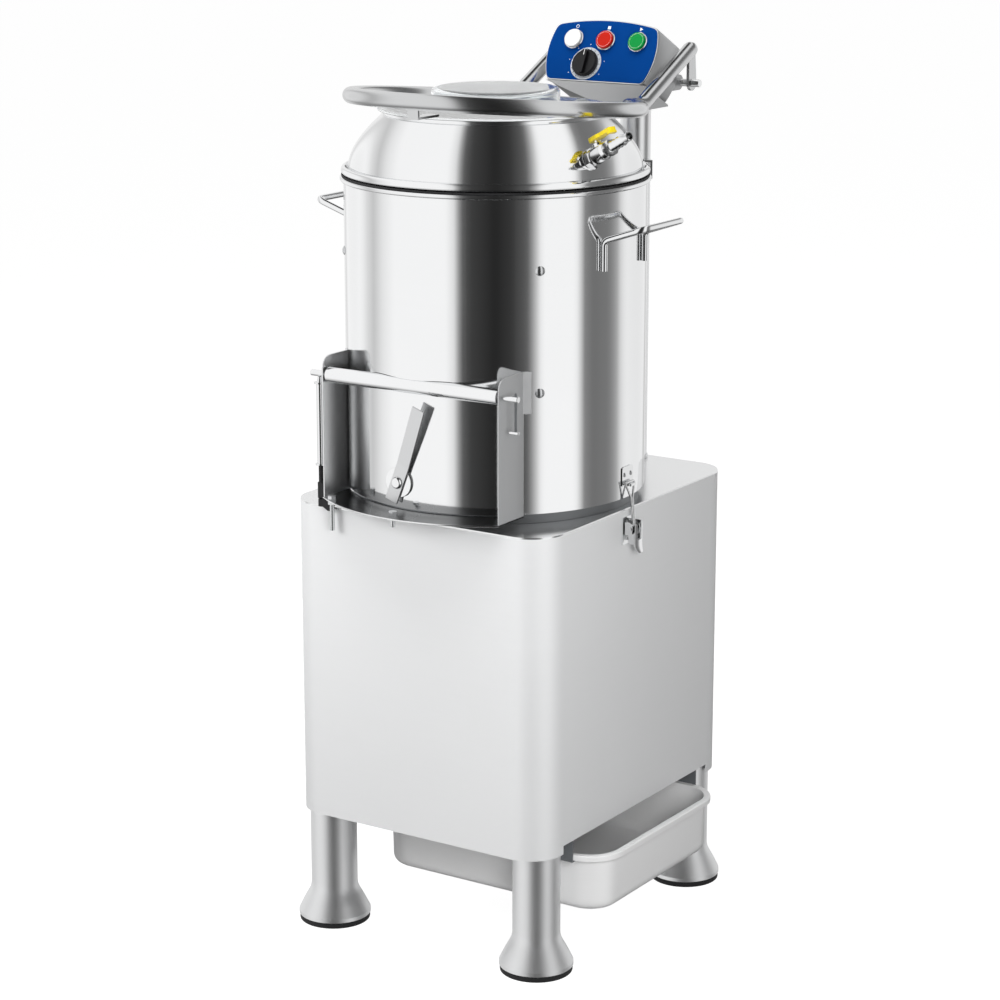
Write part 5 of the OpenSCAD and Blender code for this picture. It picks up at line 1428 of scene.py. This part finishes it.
@dataclass
class ControlHead:
    """The column, the box on it, its blue panel, buttons and timer knob."""

    column_x: float = 54.0
    column_y: float = 251.0
    column_r: float = 20.0
    foot_r: float = 21.5
    panel_y: float = 235.0
    panel_z: float = 1069.98
    lean: float = 26.9
    half: float = 82.5
    middle_v: float = 42.0
    side_r: float = 94.0
    apex: float = 86.0
    arch_r: float = 350.0
    depth: float = 68.0
    panel_thick: float = 2.5
    button_u: float = 3.5
    button_v: float = 57.0
    button_gap: float = 48.5
    timer_u: float = -18.0
    timer_v: float = 24.0
    dial_r: float = 22.6
    knob_r: float = 18.4
    cap_r: float = 12.1
    dots_r: float = 27.0
    dot_r: float = 0.6
    ticks_r: float = 20.1
    ink: float = 0.15
    bezel_r: float = 14.0
    bezel_tall: float = 3.4
    thread_r: float = 11.0
    bore_r: float = 9.65
    mark_up: float = 18.5
    ear_x: float = 76.0
    ear_r: float = 10.0
    grip_half: float = 16.0
    grip_thick: float = 3.5
    grip_top: float = 10.4

    def build(self) -> None:
        """Makes the head's pieces."""
        lean = np.radians(90 - self.lean)
        self.place = Place(np.array([0.0, self.panel_y, self.panel_z]), RIGHT,
                           BACK * np.cos(lean) + UP * np.sin(lean))
        self.column()
        self.box()
        self.panel()
        self.dial()
        for index, (word, finish) in enumerate((("out", WHITE_CAP), ("stop", RED_CAP), ("start", GREEN_CAP))):
            self.button(index - 1, word, finish)
        self.timer()

    def column(self) -> None:
        """Makes the column with its foot."""
        low, high = span("column")
        bore, foot_top = self.column_r - 2, low[2] + 5
        profile = eased([(bore, low[2]), (self.foot_r, low[2]), (self.foot_r, foot_top),
                         (self.column_r, foot_top), (self.column_r, high[2]), (bore, high[2])],
                        [0, 1, 1, 0.2, 0.5, 0])
        shape = Shape().turned(profile, Place(np.array([self.column_x, self.column_y, 0.0])), 96)
        shape.piece("column_tube", SOFT_STEEL, replaces=["column"])

    def outline(self, grow: float) -> Array:
        """Returns the barrel outline: two side arcs and a top arc over a straight lower edge.

        Args:
            grow: how far it lies outside the panel's own edge.

        Returns:
            The outline's points.
        """
        half, radius = self.half + grow, self.side_r
        v = np.linspace(-grow, self.apex, 40)
        side = half - radius + np.sqrt(radius**2 - (v - self.middle_v) ** 2)
        top = self.apex + grow - self.arch_r + np.sqrt(self.arch_r**2 - side**2)
        inside = v < top
        right = np.column_stack([side, v])[inside]
        u = np.linspace(right[-1, 0] - 1.5, -right[-1, 0] + 1.5, 30)
        arch = np.column_stack([u, self.apex + grow - self.arch_r + np.sqrt(self.arch_r**2 - u**2)])
        left = right[::-1] * [-1, 1]
        return np.concatenate([right, arch, left])

    def rounded_outline(self, grow: float, corner: float) -> Array:
        """Returns the barrel outline with its four corners rounded by a moving average of its points.

        Args:
            grow: how far it lies outside the panel's own edge.
            corner: how far the average reaches to each side.

        Returns:
            The outline's 360 points.
        """
        points = self.outline(grow)
        closed = np.concatenate([points, points[:1]])
        length = np.concatenate([[0], np.cumsum(np.linalg.norm(np.diff(closed, axis=0), axis=1))])
        even = np.linspace(0, length[-1], 361)[:-1]
        fine = np.column_stack([np.interp(even, length, closed[:, i]) for i in (0, 1)])
        window = max(int(corner / (length[-1] / 360)), 1)
        shifts = np.arange(-window, window + 1)
        return np.mean([np.roll(fine, shift, axis=0) for shift in shifts], axis=0)

    def box(self) -> None:
        """Makes the sheet box behind the panel, with a rounded rear edge."""
        base = self.rounded_outline(1.0, 7.0)
        middle = np.array([0.0, self.middle_v])
        outward = unit(base - middle)
        rings = []
        back = -self.depth
        for inset, height in ((2.0, 0.0), (0.4, 0.1), (0.0, -0.8), (0.0, back + 6), (1.8, back + 1.8),
                              (6.0, back), (40.0, back)):
            rings.append(np.column_stack([base - outward * inset, np.full(len(base), height)]))
        rings.append(np.column_stack([np.tile(middle, (len(base), 1)), np.full(len(base), back)]))
        front = np.column_stack([np.tile(middle, (len(base), 1)), np.zeros(len(base))])
        points = self.place.put(np.stack([front] + rings))
        shape = Shape().grid(points, wrap_columns=True)
        _, axle_y, axle_z = np.mean(span("hinge_axle"), axis=0)
        for side in (-1, 1):
            upright = Place(RIGHT * (side * self.ear_x - 2), BACK, UP)
            ear = np.concatenate([arc((axle_y, axle_z), self.ear_r, -90, 90, 16),
                                  [[axle_y - 12, axle_z + self.ear_r], [axle_y - 22, axle_z - self.ear_r]]])
            shape.plate(ear, 0, 4, upright)
        # The box's steel is darkened for painted shade on its underside and sides.
        shape.piece("head_box", SHADED_HEAD_STEEL, replaces=["control_box"])

    def panel(self) -> None:
        """Makes the blue panel with its bright edge, and the bezels of the push buttons."""
        outline = self.rounded_outline(-1.2, 6.0)
        shape = Shape().plate(outline, 0.4, self.panel_thick, self.place)
        shape.piece("blue_panel", BLUE, replaces=["control_panel"], bevel=0.4)
        edge = self.rounded_outline(-0.2, 6.5)
        inner = self.rounded_outline(-1.3, 6.0)[::-1]
        rim = Shape().plate(edge, 0.1, self.panel_thick - 0.7, self.place, [inner])
        rim.piece("panel_edge", BRIGHT)
        bezels = Shape()
        bore, thread, outer, tall = self.bore_r, self.thread_r, self.bezel_r, self.bezel_tall
        ring = eased([(bore, -20), (thread, -20), (thread, 0), (outer, 0), (outer, tall - 1.2),
                      (outer - 0.8, tall), (outer - 1.6, tall), (outer - 1.7, 0.1), (bore, 0.1)],
                     [0, 0, 0, 0.3, 0.6, 0.5, 0.3, 0, 0])
        for index in (-1, 0, 1):
            bezels.turned(ring, self.button_place(index), 64)
        bezels.piece("button_rings", BRIGHT, replaces=["panel_bezels"])

    def button_place(self, index: int) -> Place:
        """Returns a button's axes on the panel's face, by its place from the middle one."""
        return self.place.moved(self.button_u + index * self.button_gap, self.button_v, self.panel_thick)

    def dial(self) -> None:
        """Makes the timer's plate with its ticks, and the dots round it."""
        dial = self.place.moved(self.timer_u, self.timer_v, self.panel_thick)
        plate = eased([(5.1, 0), (self.dial_r, 0), (self.dial_r, 1), (5.1, 1)], [0, 0.3, 0.4, 0])
        Shape().turned(plate, dial, 96).piece("dial_plate", DIAL)
        marks = Shape()
        for turn in np.radians(np.linspace(-60, 240, 16)):
            outward = dial.x * np.cos(turn) + dial.y * np.sin(turn)
            across = dial.y * np.cos(turn) - dial.x * np.sin(turn)
            tick = Place(dial.origin + outward * self.ticks_r + dial.z * 0.9, outward, across)
            marks.box((-1.3, -0.3, 0), (1.3, 0.3, 0.2), tick)
        marks.piece("dial_ticks", BLACK_PLASTIC)
        dots = Shape()
        for turn in np.radians(np.arange(-30, 211, 40)):
            dot = dial.moved(self.dots_r * np.cos(turn), self.dots_r * np.sin(turn), 0)
            dots.turned([(CORE, 0), (self.dot_r, 0), (self.dot_r, self.ink), (CORE, self.ink)], dot, 16)
        dots.piece("dial_dots", MARK)

    def button(self, index: int, word: str, finish: Finish) -> None:
        """Makes a push button's cap, with a plain mark on its face.

        Args:
            index: its place from the middle one.
            word: which button it is.
            finish: its finish.
        """
        place = self.button_place(index)
        stem, radius = self.bore_r - 0.15, self.cap_r
        cap = eased([(CORE, -9), (stem, -9), (stem, 3.3), (radius, 3.3), (radius, 6.0), (radius - 1.4, 6.6),
                     (radius - 2.4, 6.0), (CORE, 5.8)], [0, 0.2, 0, 0.4, 0.5, 0.4, 0.4, 0])
        shape = Shape().turned(cap, place, 72)
        shape.piece(f"cap_{word}", finish, f"{word}_button", [f"button_{word}"])
        ring = radius - 2.1
        line = [(ring, 5.6), (ring + 0.45, 5.6), (ring + 0.45, 6.3), (ring, 6.3)]
        Shape().turned(line, place, 72).piece(f"cap_ring_{word}", MARK, f"{word}_button")
        spot = place.moved(v=self.mark_up)
        mark = Shape()
        if index < 0:
            mark.turned([(1.7, 0), (2.4, 0), (2.4, self.ink), (1.7, self.ink)], spot, 40)
        elif index == 0:
            mark.box((-2.2, -2.2, 0), (2.2, 2.2, self.ink), spot)
        else:
            mark.plate(np.array([[-2.0, -2.5], [2.6, 0.0], [-2.0, 2.5]]), 0, self.ink, spot)
        mark.piece(f"mark_{word}", MARK)

    def timer(self) -> None:
        """Makes the timer knob: a skirt of radius R (1 + 0.012 cos 30t), and a grip bar with a line."""
        place = self.place.moved(self.timer_u, self.timer_v, self.panel_thick + 1.1)
        t = np.linspace(0, 2 * np.pi, 180, endpoint=False)
        wave = 1 + 0.012 * np.cos(30 * t)
        steps = eased([(CORE, 0), (self.knob_r, 0), (self.knob_r, 4), (self.knob_r - 1.5, 5.6), (CORE, 5.8)],
                      [0, 0.5, 1, 2, 0])
        r = steps[:, 0, None] * np.where(steps[:, 0, None] > self.knob_r - 1, wave, 1.0)
        points = np.stack([r * np.cos(t), r * np.sin(t), steps[:, 1, None] + 0 * t], axis=-1)
        shape = Shape().grid(place.put(points), wrap_columns=True)
        shape.turned([(CORE, -17), (3, -17), (3, 0.2), (CORE, 0.2)], place, 24)
        half, thick, top = self.grip_half, self.grip_thick, self.grip_top
        bar = eased([(-thick, -half), (thick, -half), (thick, half), (-thick, half)], 2.5)
        shape.plate(bar, 5.5, top, place)
        shape.piece("knob", BLACK_PLASTIC, "knob", ["timer_knob"], bevel=0.6)
        line = Shape().box((-0.4, half / 2, top - 0.1), (0.4, half - 0.6, top + 0.1), place)
        line.piece("knob_line", MARK, "knob")


@dataclass
class Lid:
    """The bent tube frame with its lugs and tabs, and the clear lid."""

    ring_r: float = 180.0
    tube_r: float = 10.0
    tilt: float = 5.0
    ring_z: float = 1065.6
    arm_x: float = 96.0
    bend: float = 40.0
    arm_y: float = 318.0
    arm_z: float = 1111.0
    lid_r: float = 147.0
    lid_thick: float = 3.0
    crown_r: float = 80.0
    mouth: float = 139.0
    lug_r: float = 10.0
    lug_thick: float = 4.0
    axle_r: float = 5.0
    tab_half: float = 8.0
    tab_thick: float = 3.0

    def build(self) -> None:
        """Makes the frame and the lid."""
        self.frame_tube()
        self.clear()

    def route(self) -> Array:
        """Works out the tube's middle line: arm, outward bend, open ring, outward bend and arm.

        Returns:
            The line's points.
        """
        bend_y = np.sqrt((self.ring_r + self.bend) ** 2 - (self.arm_x + self.bend) ** 2)
        leave = np.degrees(np.arctan2(bend_y, self.arm_x + self.bend))
        right = arc((self.arm_x + self.bend, bend_y), self.bend, 180, 180 + leave, 12)[:-1]
        ring = arc((0, 0), self.ring_r, leave, -180 - leave, 150)
        left = (right * [-1, 1])[::-1]
        flat = np.concatenate([right, ring, left])
        tilt = np.radians(self.tilt)
        body = np.column_stack([flat[:, 0], flat[:, 1] * np.cos(tilt),
                                self.ring_z - flat[:, 1] * np.sin(tilt)])
        slope = np.array([0, np.cos(tilt), -np.sin(tilt)])
        start = np.array([self.arm_x, 0, self.ring_z]) + slope * bend_y
        arm = eased([start + slope * 2, start + slope * self.bend / 2, (self.arm_x, self.arm_y, self.arm_z)],
                    [0, self.bend, 0], 12, closed=False)
        return np.concatenate([arm[::-1], body, arm * [-1, 1, 1]])

    def frame_tube(self) -> None:
        """Makes the tube with round ends, its hinge lugs and the three tabs that hold the lid."""
        shape = Shape().tube(self.route(), self.tube_r, 40, domed=self.tube_r, lean=(0.02, 0.01, 1.0))
        _, axle_y, axle_z = np.mean(span("hinge_axle"), axis=0)
        low = self.arm_z - 2
        lug = np.concatenate([arc((axle_y, axle_z), self.lug_r, 180, 360, 16),
                              [[axle_y + 6, low], [axle_y - self.lug_r, low]]])
        hole = arc((axle_y, axle_z), self.axle_r + 0.05, 0, 345, 23)
        for side in (-1, 1):
            upright = Place(RIGHT * (side * self.arm_x - self.lug_thick / 2), BACK, UP)
            shape.plate(lug, 0, self.lug_thick, upright, [hole])
        under = span("dome_cover")[1][2] + 0.3 + self.lid_thick
        half, thick = self.tab_half, self.tab_thick
        for turn in (-90, 0, 180):
            direction = np.radians(turn)
            outward = RIGHT * np.cos(direction) + BACK * np.sin(direction)
            place = Place(np.zeros(3), outward, np.cross(UP, outward))
            shape.box((self.mouth - 3, -half, under + 0.02), (self.ring_r, half, under + thick), place)
            if turn == -90:
                shape.box((self.ring_r - thick, -half, under), (self.ring_r, half, self.ring_z + 8), place)
        # The tube's steel is darkened to paint in its darker reflections.
        hoop = shape.piece("lid_frame", DARKENED_TUBE_STEEL, "lid", ["lid_hoop"], bevel=0.3)
        hoop.visible_glossy = False

    def clear(self) -> None:
        """Makes the clear lid: a flange on the mouth's lip and a raised middle, turned in one."""
        low, high = span("clear_lid")
        z0, z1 = low[2], high[2]
        t = self.lid_thick
        profile = eased([(CORE, z1 - t), (self.crown_r - t, z1 - t), (self.crown_r - t, z0),
                         (self.lid_r, z0), (self.lid_r, z0 + t), (self.crown_r, z0 + t), (self.crown_r, z1),
                         (CORE, z1)], [0, 5, 1, 1, 1, 2, 7, 0], 6)
        cover = Shape().turned(profile, segments=160).piece("clear_cover", CLEAR, "lid", ["clear_lid"])
        cover.visible_glossy = False


@dataclass
class Studio:
    """The floor, the lamps, the world and the camera at the photograph's place."""

    turn: float = 33.165
    distance: float = 3500.0
    height: float = 1436.0
    sideways: float = 5.4
    pitch: float = 14.111
    lens: float = 101.165
    floor_glow: float = 0.96
    floor_tone: float = 0.25
    room_light: float = 0.12
    bands_rise: float = 10.0
    bands_pull: float = 1.3
    plain_tone: float = 0.87
    low_tone: float = 0.3
    floor_half: float = 40.0
    aim_height: float = 0.6

    def build(self) -> None:
        """Sets up everything that isn't part of the object."""
        self.camera()
        self.floor()
        self.lamps()
        self.world()
        bpy.context.scene.view_settings.view_transform = "Standard"

    def camera(self) -> None:
        """Places the camera, turned round the drum's axis and pitched down."""
        data = bpy.data.cameras.new("camera")
        data.lens = self.lens
        data.sensor_width = 36.0
        data.clip_end = 200.0
        camera = bpy.data.objects.new("camera", data)
        turn = np.radians(self.turn)
        away = (RIGHT * np.sin(turn) - BACK * np.cos(turn)) * self.distance
        aside = (RIGHT * np.cos(turn) + BACK * np.sin(turn)) * self.sideways
        camera.location = (away + aside + UP * self.height) * MM + AXIS
        camera.rotation_euler = Euler((np.radians(90 - self.pitch), 0.0, turn))
        bpy.context.scene.collection.objects.link(camera)
        bpy.context.scene.camera = camera

    def floor(self) -> None:
        """Makes the plain pale floor, which gloss looks through to the room's tones."""
        mesh = bpy.data.meshes.new("floor")
        half = self.floor_half
        mesh.from_pydata([(-half, -half, 0), (half, -half, 0), (half, half, 0), (-half, half, 0)], [],
                         [(0, 1, 2, 3)])
        floor = bpy.data.objects.new("floor", mesh)
        material = bpy.data.materials.new("Floor")
        material.use_nodes = True
        nodes, link = material.node_tree.nodes, material.node_tree.links.new
        shader = nodes["Principled BSDF"]
        for socket, value in {"Base Color": (self.floor_tone, self.floor_tone, self.floor_tone, 1),
                              "Roughness": 0.9, "Specular IOR Level": 0.0,
                              "Emission Color": (1, 1, 1, 1)}.items():
            shader.inputs[socket].default_value = value
        path = add_node(nodes, "LightPath")
        glow = add_node(nodes, "Math", {1: self.floor_glow}, operation="MULTIPLY")
        through = add_node(nodes, "BsdfTransparent")
        mix = add_node(nodes, "MixShader")
        link(path.outputs["Is Camera Ray"], glow.inputs[0])
        link(glow.outputs[0], shader.inputs["Emission Strength"])
        link(path.outputs["Is Glossy Ray"], mix.inputs["Fac"])
        link(shader.outputs["BSDF"], mix.inputs[1])
        link(through.outputs["BSDF"], mix.inputs[2])
        link(mix.outputs["Shader"], nodes["Material Output"].inputs["Surface"])
        mesh.materials.append(material)
        bpy.context.scene.collection.objects.link(floor)

    def lamp(self, name: str, place: Sequence[float], size: float, power: float) -> None:
        """Adds a square lamp that faces the middle of the machine.

        Args:
            name: the lamp's name.
            place: where it is, in metres from the drum's axis.
            size: its side in metres.
            power: its power in watts.
        """
        data = bpy.data.lights.new(name, "AREA")
        data.size = size
        data.energy = power
        lamp = bpy.data.objects.new(name, data)
        spot = np.array(place) + AXIS
        lamp.location = spot
        aim = AXIS + UP * self.aim_height - spot
        axes = along((0, 0, 0), -aim)
        columns = np.stack([axes.x, axes.y, axes.z], axis=-1)
        lamp.rotation_euler = Matrix(columns.tolist()).to_euler()
        lamp.visible_glossy = False
        lamp.visible_camera = False
        bpy.context.scene.collection.objects.link(lamp)

    def lamps(self) -> None:
        """Adds the soft lamps."""
        self.lamp("left lamp", (-0.94, -0.86, 0.92), 0.5, 10.4)
        self.lamp("key lamp", (2.08, -2.28, 0.95), 1.0, 26.5)
        self.lamp("near lamp", (1.04, -0.79, 0.86), 0.5, 7.7)
        self.lamp("top lamp", (-0.2, -0.5, 3.2), 1.6, 60.0)

    def world(self) -> None:
        """Makes the world: white to the eye, and a room with darker bands for gloss to show.

        A band's place is the compass turn of the direction plus one fixed vector, so that a band
        stays upright on a wall and on the dome above it. Where that sum has little level length,
        the room has one plain tone, so that flat tops stay calm.
        """
        world = bpy.data.worlds.new("studio")
        world.use_nodes = True
        bpy.context.scene.world = world
        nodes, link = world.node_tree.nodes, world.node_tree.links.new
        back = nodes["Background"]
        back.inputs["Color"].default_value = (1, 1, 1, 1)
        back.inputs["Strength"].default_value = self.room_light
        seen = add_node(nodes, "Background", {"Strength": 1.0})
        path = add_node(nodes, "LightPath")
        white = add_node(nodes, "Mix", {"B": (1, 1, 1, 1)}, data_type="RGBA")
        either = add_node(nodes, "Math", operation="MAXIMUM")
        direct = add_node(nodes, "Math", operation="MAXIMUM")
        mix = add_node(nodes, "MixShader")
        link(self.room(nodes, link), white.inputs["A"])
        link(path.outputs["Is Camera Ray"], either.inputs[0])
        link(path.outputs["Is Transmission Ray"], either.inputs[1])
        link(either.outputs[0], white.inputs["Factor"])
        link(white.outputs["Result"], seen.inputs["Color"])
        link(either.outputs[0], direct.inputs[0])
        link(path.outputs["Is Glossy Ray"], direct.inputs[1])
        link(direct.outputs[0], mix.inputs["Fac"])
        link(back.outputs["Background"], mix.inputs[1])
        link(seen.outputs["Background"], mix.inputs[2])
        link(mix.outputs["Shader"], nodes["World Output"].inputs["Surface"])

    def room(self, nodes: bpy.types.Nodes, link: Callable) -> bpy.types.NodeSocket:
        """Adds the nodes that give the room's tone in each direction.

        Args:
            nodes: the world's nodes.
            link: adds a link between two sockets.

        Returns:
            The socket that puts out the tone.
        """
        turn, rise = np.radians(self.turn), np.radians(self.bands_rise)
        pull = (RIGHT * np.sin(turn) - BACK * np.cos(turn)) * np.cos(rise) + UP * np.sin(rise)
        place = add_node(nodes, "TexCoord")
        lean = add_node(nodes, "VectorMath", {1: tuple(pull * self.bands_pull)}, operation="ADD")
        link(place.outputs["Generated"], lean.inputs[0])
        parts = add_node(nodes, "SeparateXYZ")
        link(lean.outputs["Vector"], parts.inputs["Vector"])
        around = add_node(nodes, "Math", operation="ARCTAN2")
        link(parts.outputs["Y"], around.inputs[0])
        link(parts.outputs["X"], around.inputs[1])
        share = add_node(nodes, "MapRange", {"From Min": -np.pi, "From Max": np.pi})
        link(around.outputs[0], share.inputs["Value"])
        bands = add_node(nodes, "ValToRGB")
        self.bands(bands.color_ramp)
        link(share.outputs["Result"], bands.inputs["Fac"])
        level = add_node(nodes, "VectorMath", {1: (1, 1, 0)}, operation="MULTIPLY")
        link(lean.outputs["Vector"], level.inputs[0])
        length = add_node(nodes, "VectorMath", operation="LENGTH")
        link(level.outputs["Vector"], length.inputs[0])
        clear = add_node(nodes, "MapRange", {"From Min": 0.34, "From Max": 0.6})
        link(length.outputs["Value"], clear.inputs["Value"])
        plain = (self.plain_tone, self.plain_tone, self.plain_tone, 1)
        tone = add_node(nodes, "Mix", {"A": plain}, data_type="RGBA")
        link(clear.outputs["Result"], tone.inputs["Factor"])
        link(bands.outputs["Color"], tone.inputs["B"])
        upright = add_node(nodes, "VectorMath", operation="NORMALIZE")
        link(lean.outputs["Vector"], upright.inputs[0])
        height = add_node(nodes, "SeparateXYZ")
        link(upright.outputs["Vector"], height.inputs["Vector"])
        under = add_node(nodes, "MapRange", {"From Min": -0.5, "From Max": -0.12, "To Min": self.low_tone,
                                             "To Max": 1.0}, interpolation_type="SMOOTHSTEP")
        link(height.outputs["Z"], under.inputs["Value"])
        lower = add_node(nodes, "Mix", {"Factor": 1.0}, data_type="RGBA", blend_type="MULTIPLY")
        link(tone.outputs["Result"], lower.inputs["A"])
        link(under.outputs["Result"], lower.inputs["B"])
        return lower.outputs["Result"]

    def bands(self, ramp: bpy.types.ColorRamp) -> None:
        """Sets the room's tones, each by the compass turn of the drum's wall that shows it.

        A wall turned D degrees from the middle reflects a direction whose sum with the fixed
        vector of length k stands at arctan(sin 2D / (cos 2D + k)) from that middle.

        Args:
            ramp: the colour ramp to fill, from -180 to 180 degrees round from +X.
        """
        walls = [(-126, 0.95), (-118.4, 1.0), (-114.4, 0.8), (-109.4, 0.6), (-104.4, 0.85), (-98.4, 1.0),
                 (-75.4, 1.0), (-72.4, 0.8), (-69.9, 0.12), (-65.9, 0.05), (-57, 0.02), (-51, 0.04),
                 (-45, 0.11), (-42.4, 0.4), (-39.4, 1.0), (-25.4, 1.0), (-23.9, 0.8), (-21.4, 0.24),
                 (-17.4, 0.17), (-9.4, 0.2), (-4.9, 0.36), (-1.4, 0.8), (2.6, 0.9), (12, 0.86)]
        middle = self.turn - 90
        away = np.radians(2 * (np.array([turn for turn, _ in walls]) - middle))
        seen = middle + np.degrees(np.arctan2(np.sin(away), np.cos(away) + self.bands_pull))
        tones = [(-180, 0.85), (-130, 0.85), *zip(seen, [grey for _, grey in walls]), (30, 0.6), (75, 1.0),
                 (110, 0.3), (140, 1.0)]
        while len(ramp.elements) > 1:
            ramp.elements.remove(ramp.elements[-1])
        for index, (turn, grey) in enumerate(tones):
            spot = (turn + 180) / 360
            element = ramp.elements[0] if index == 0 else ramp.elements.new(spot)
            element.position = spot
            element.color = (grey, grey, grey, 1)


def main() -> None:
    """Builds the studio and every sub-assembly, then dresses the CAD nodes that stay."""
    logging.basicConfig(level=logging.INFO, format="%(name)s %(message)s")
    Studio().build()
    for part in (Cabinet(), Tray(), Drum(), Dome(), Chute(), Latches(), Valve(), ControlHead(), Lid()):
        part.build()
        log.info("%s is made", type(part).__name__)
    for finish, nodes in CAD_FINISHES.items():
        for node in nodes:
            dress_node(node, finish)


if __name__ == "__main__":
    main()
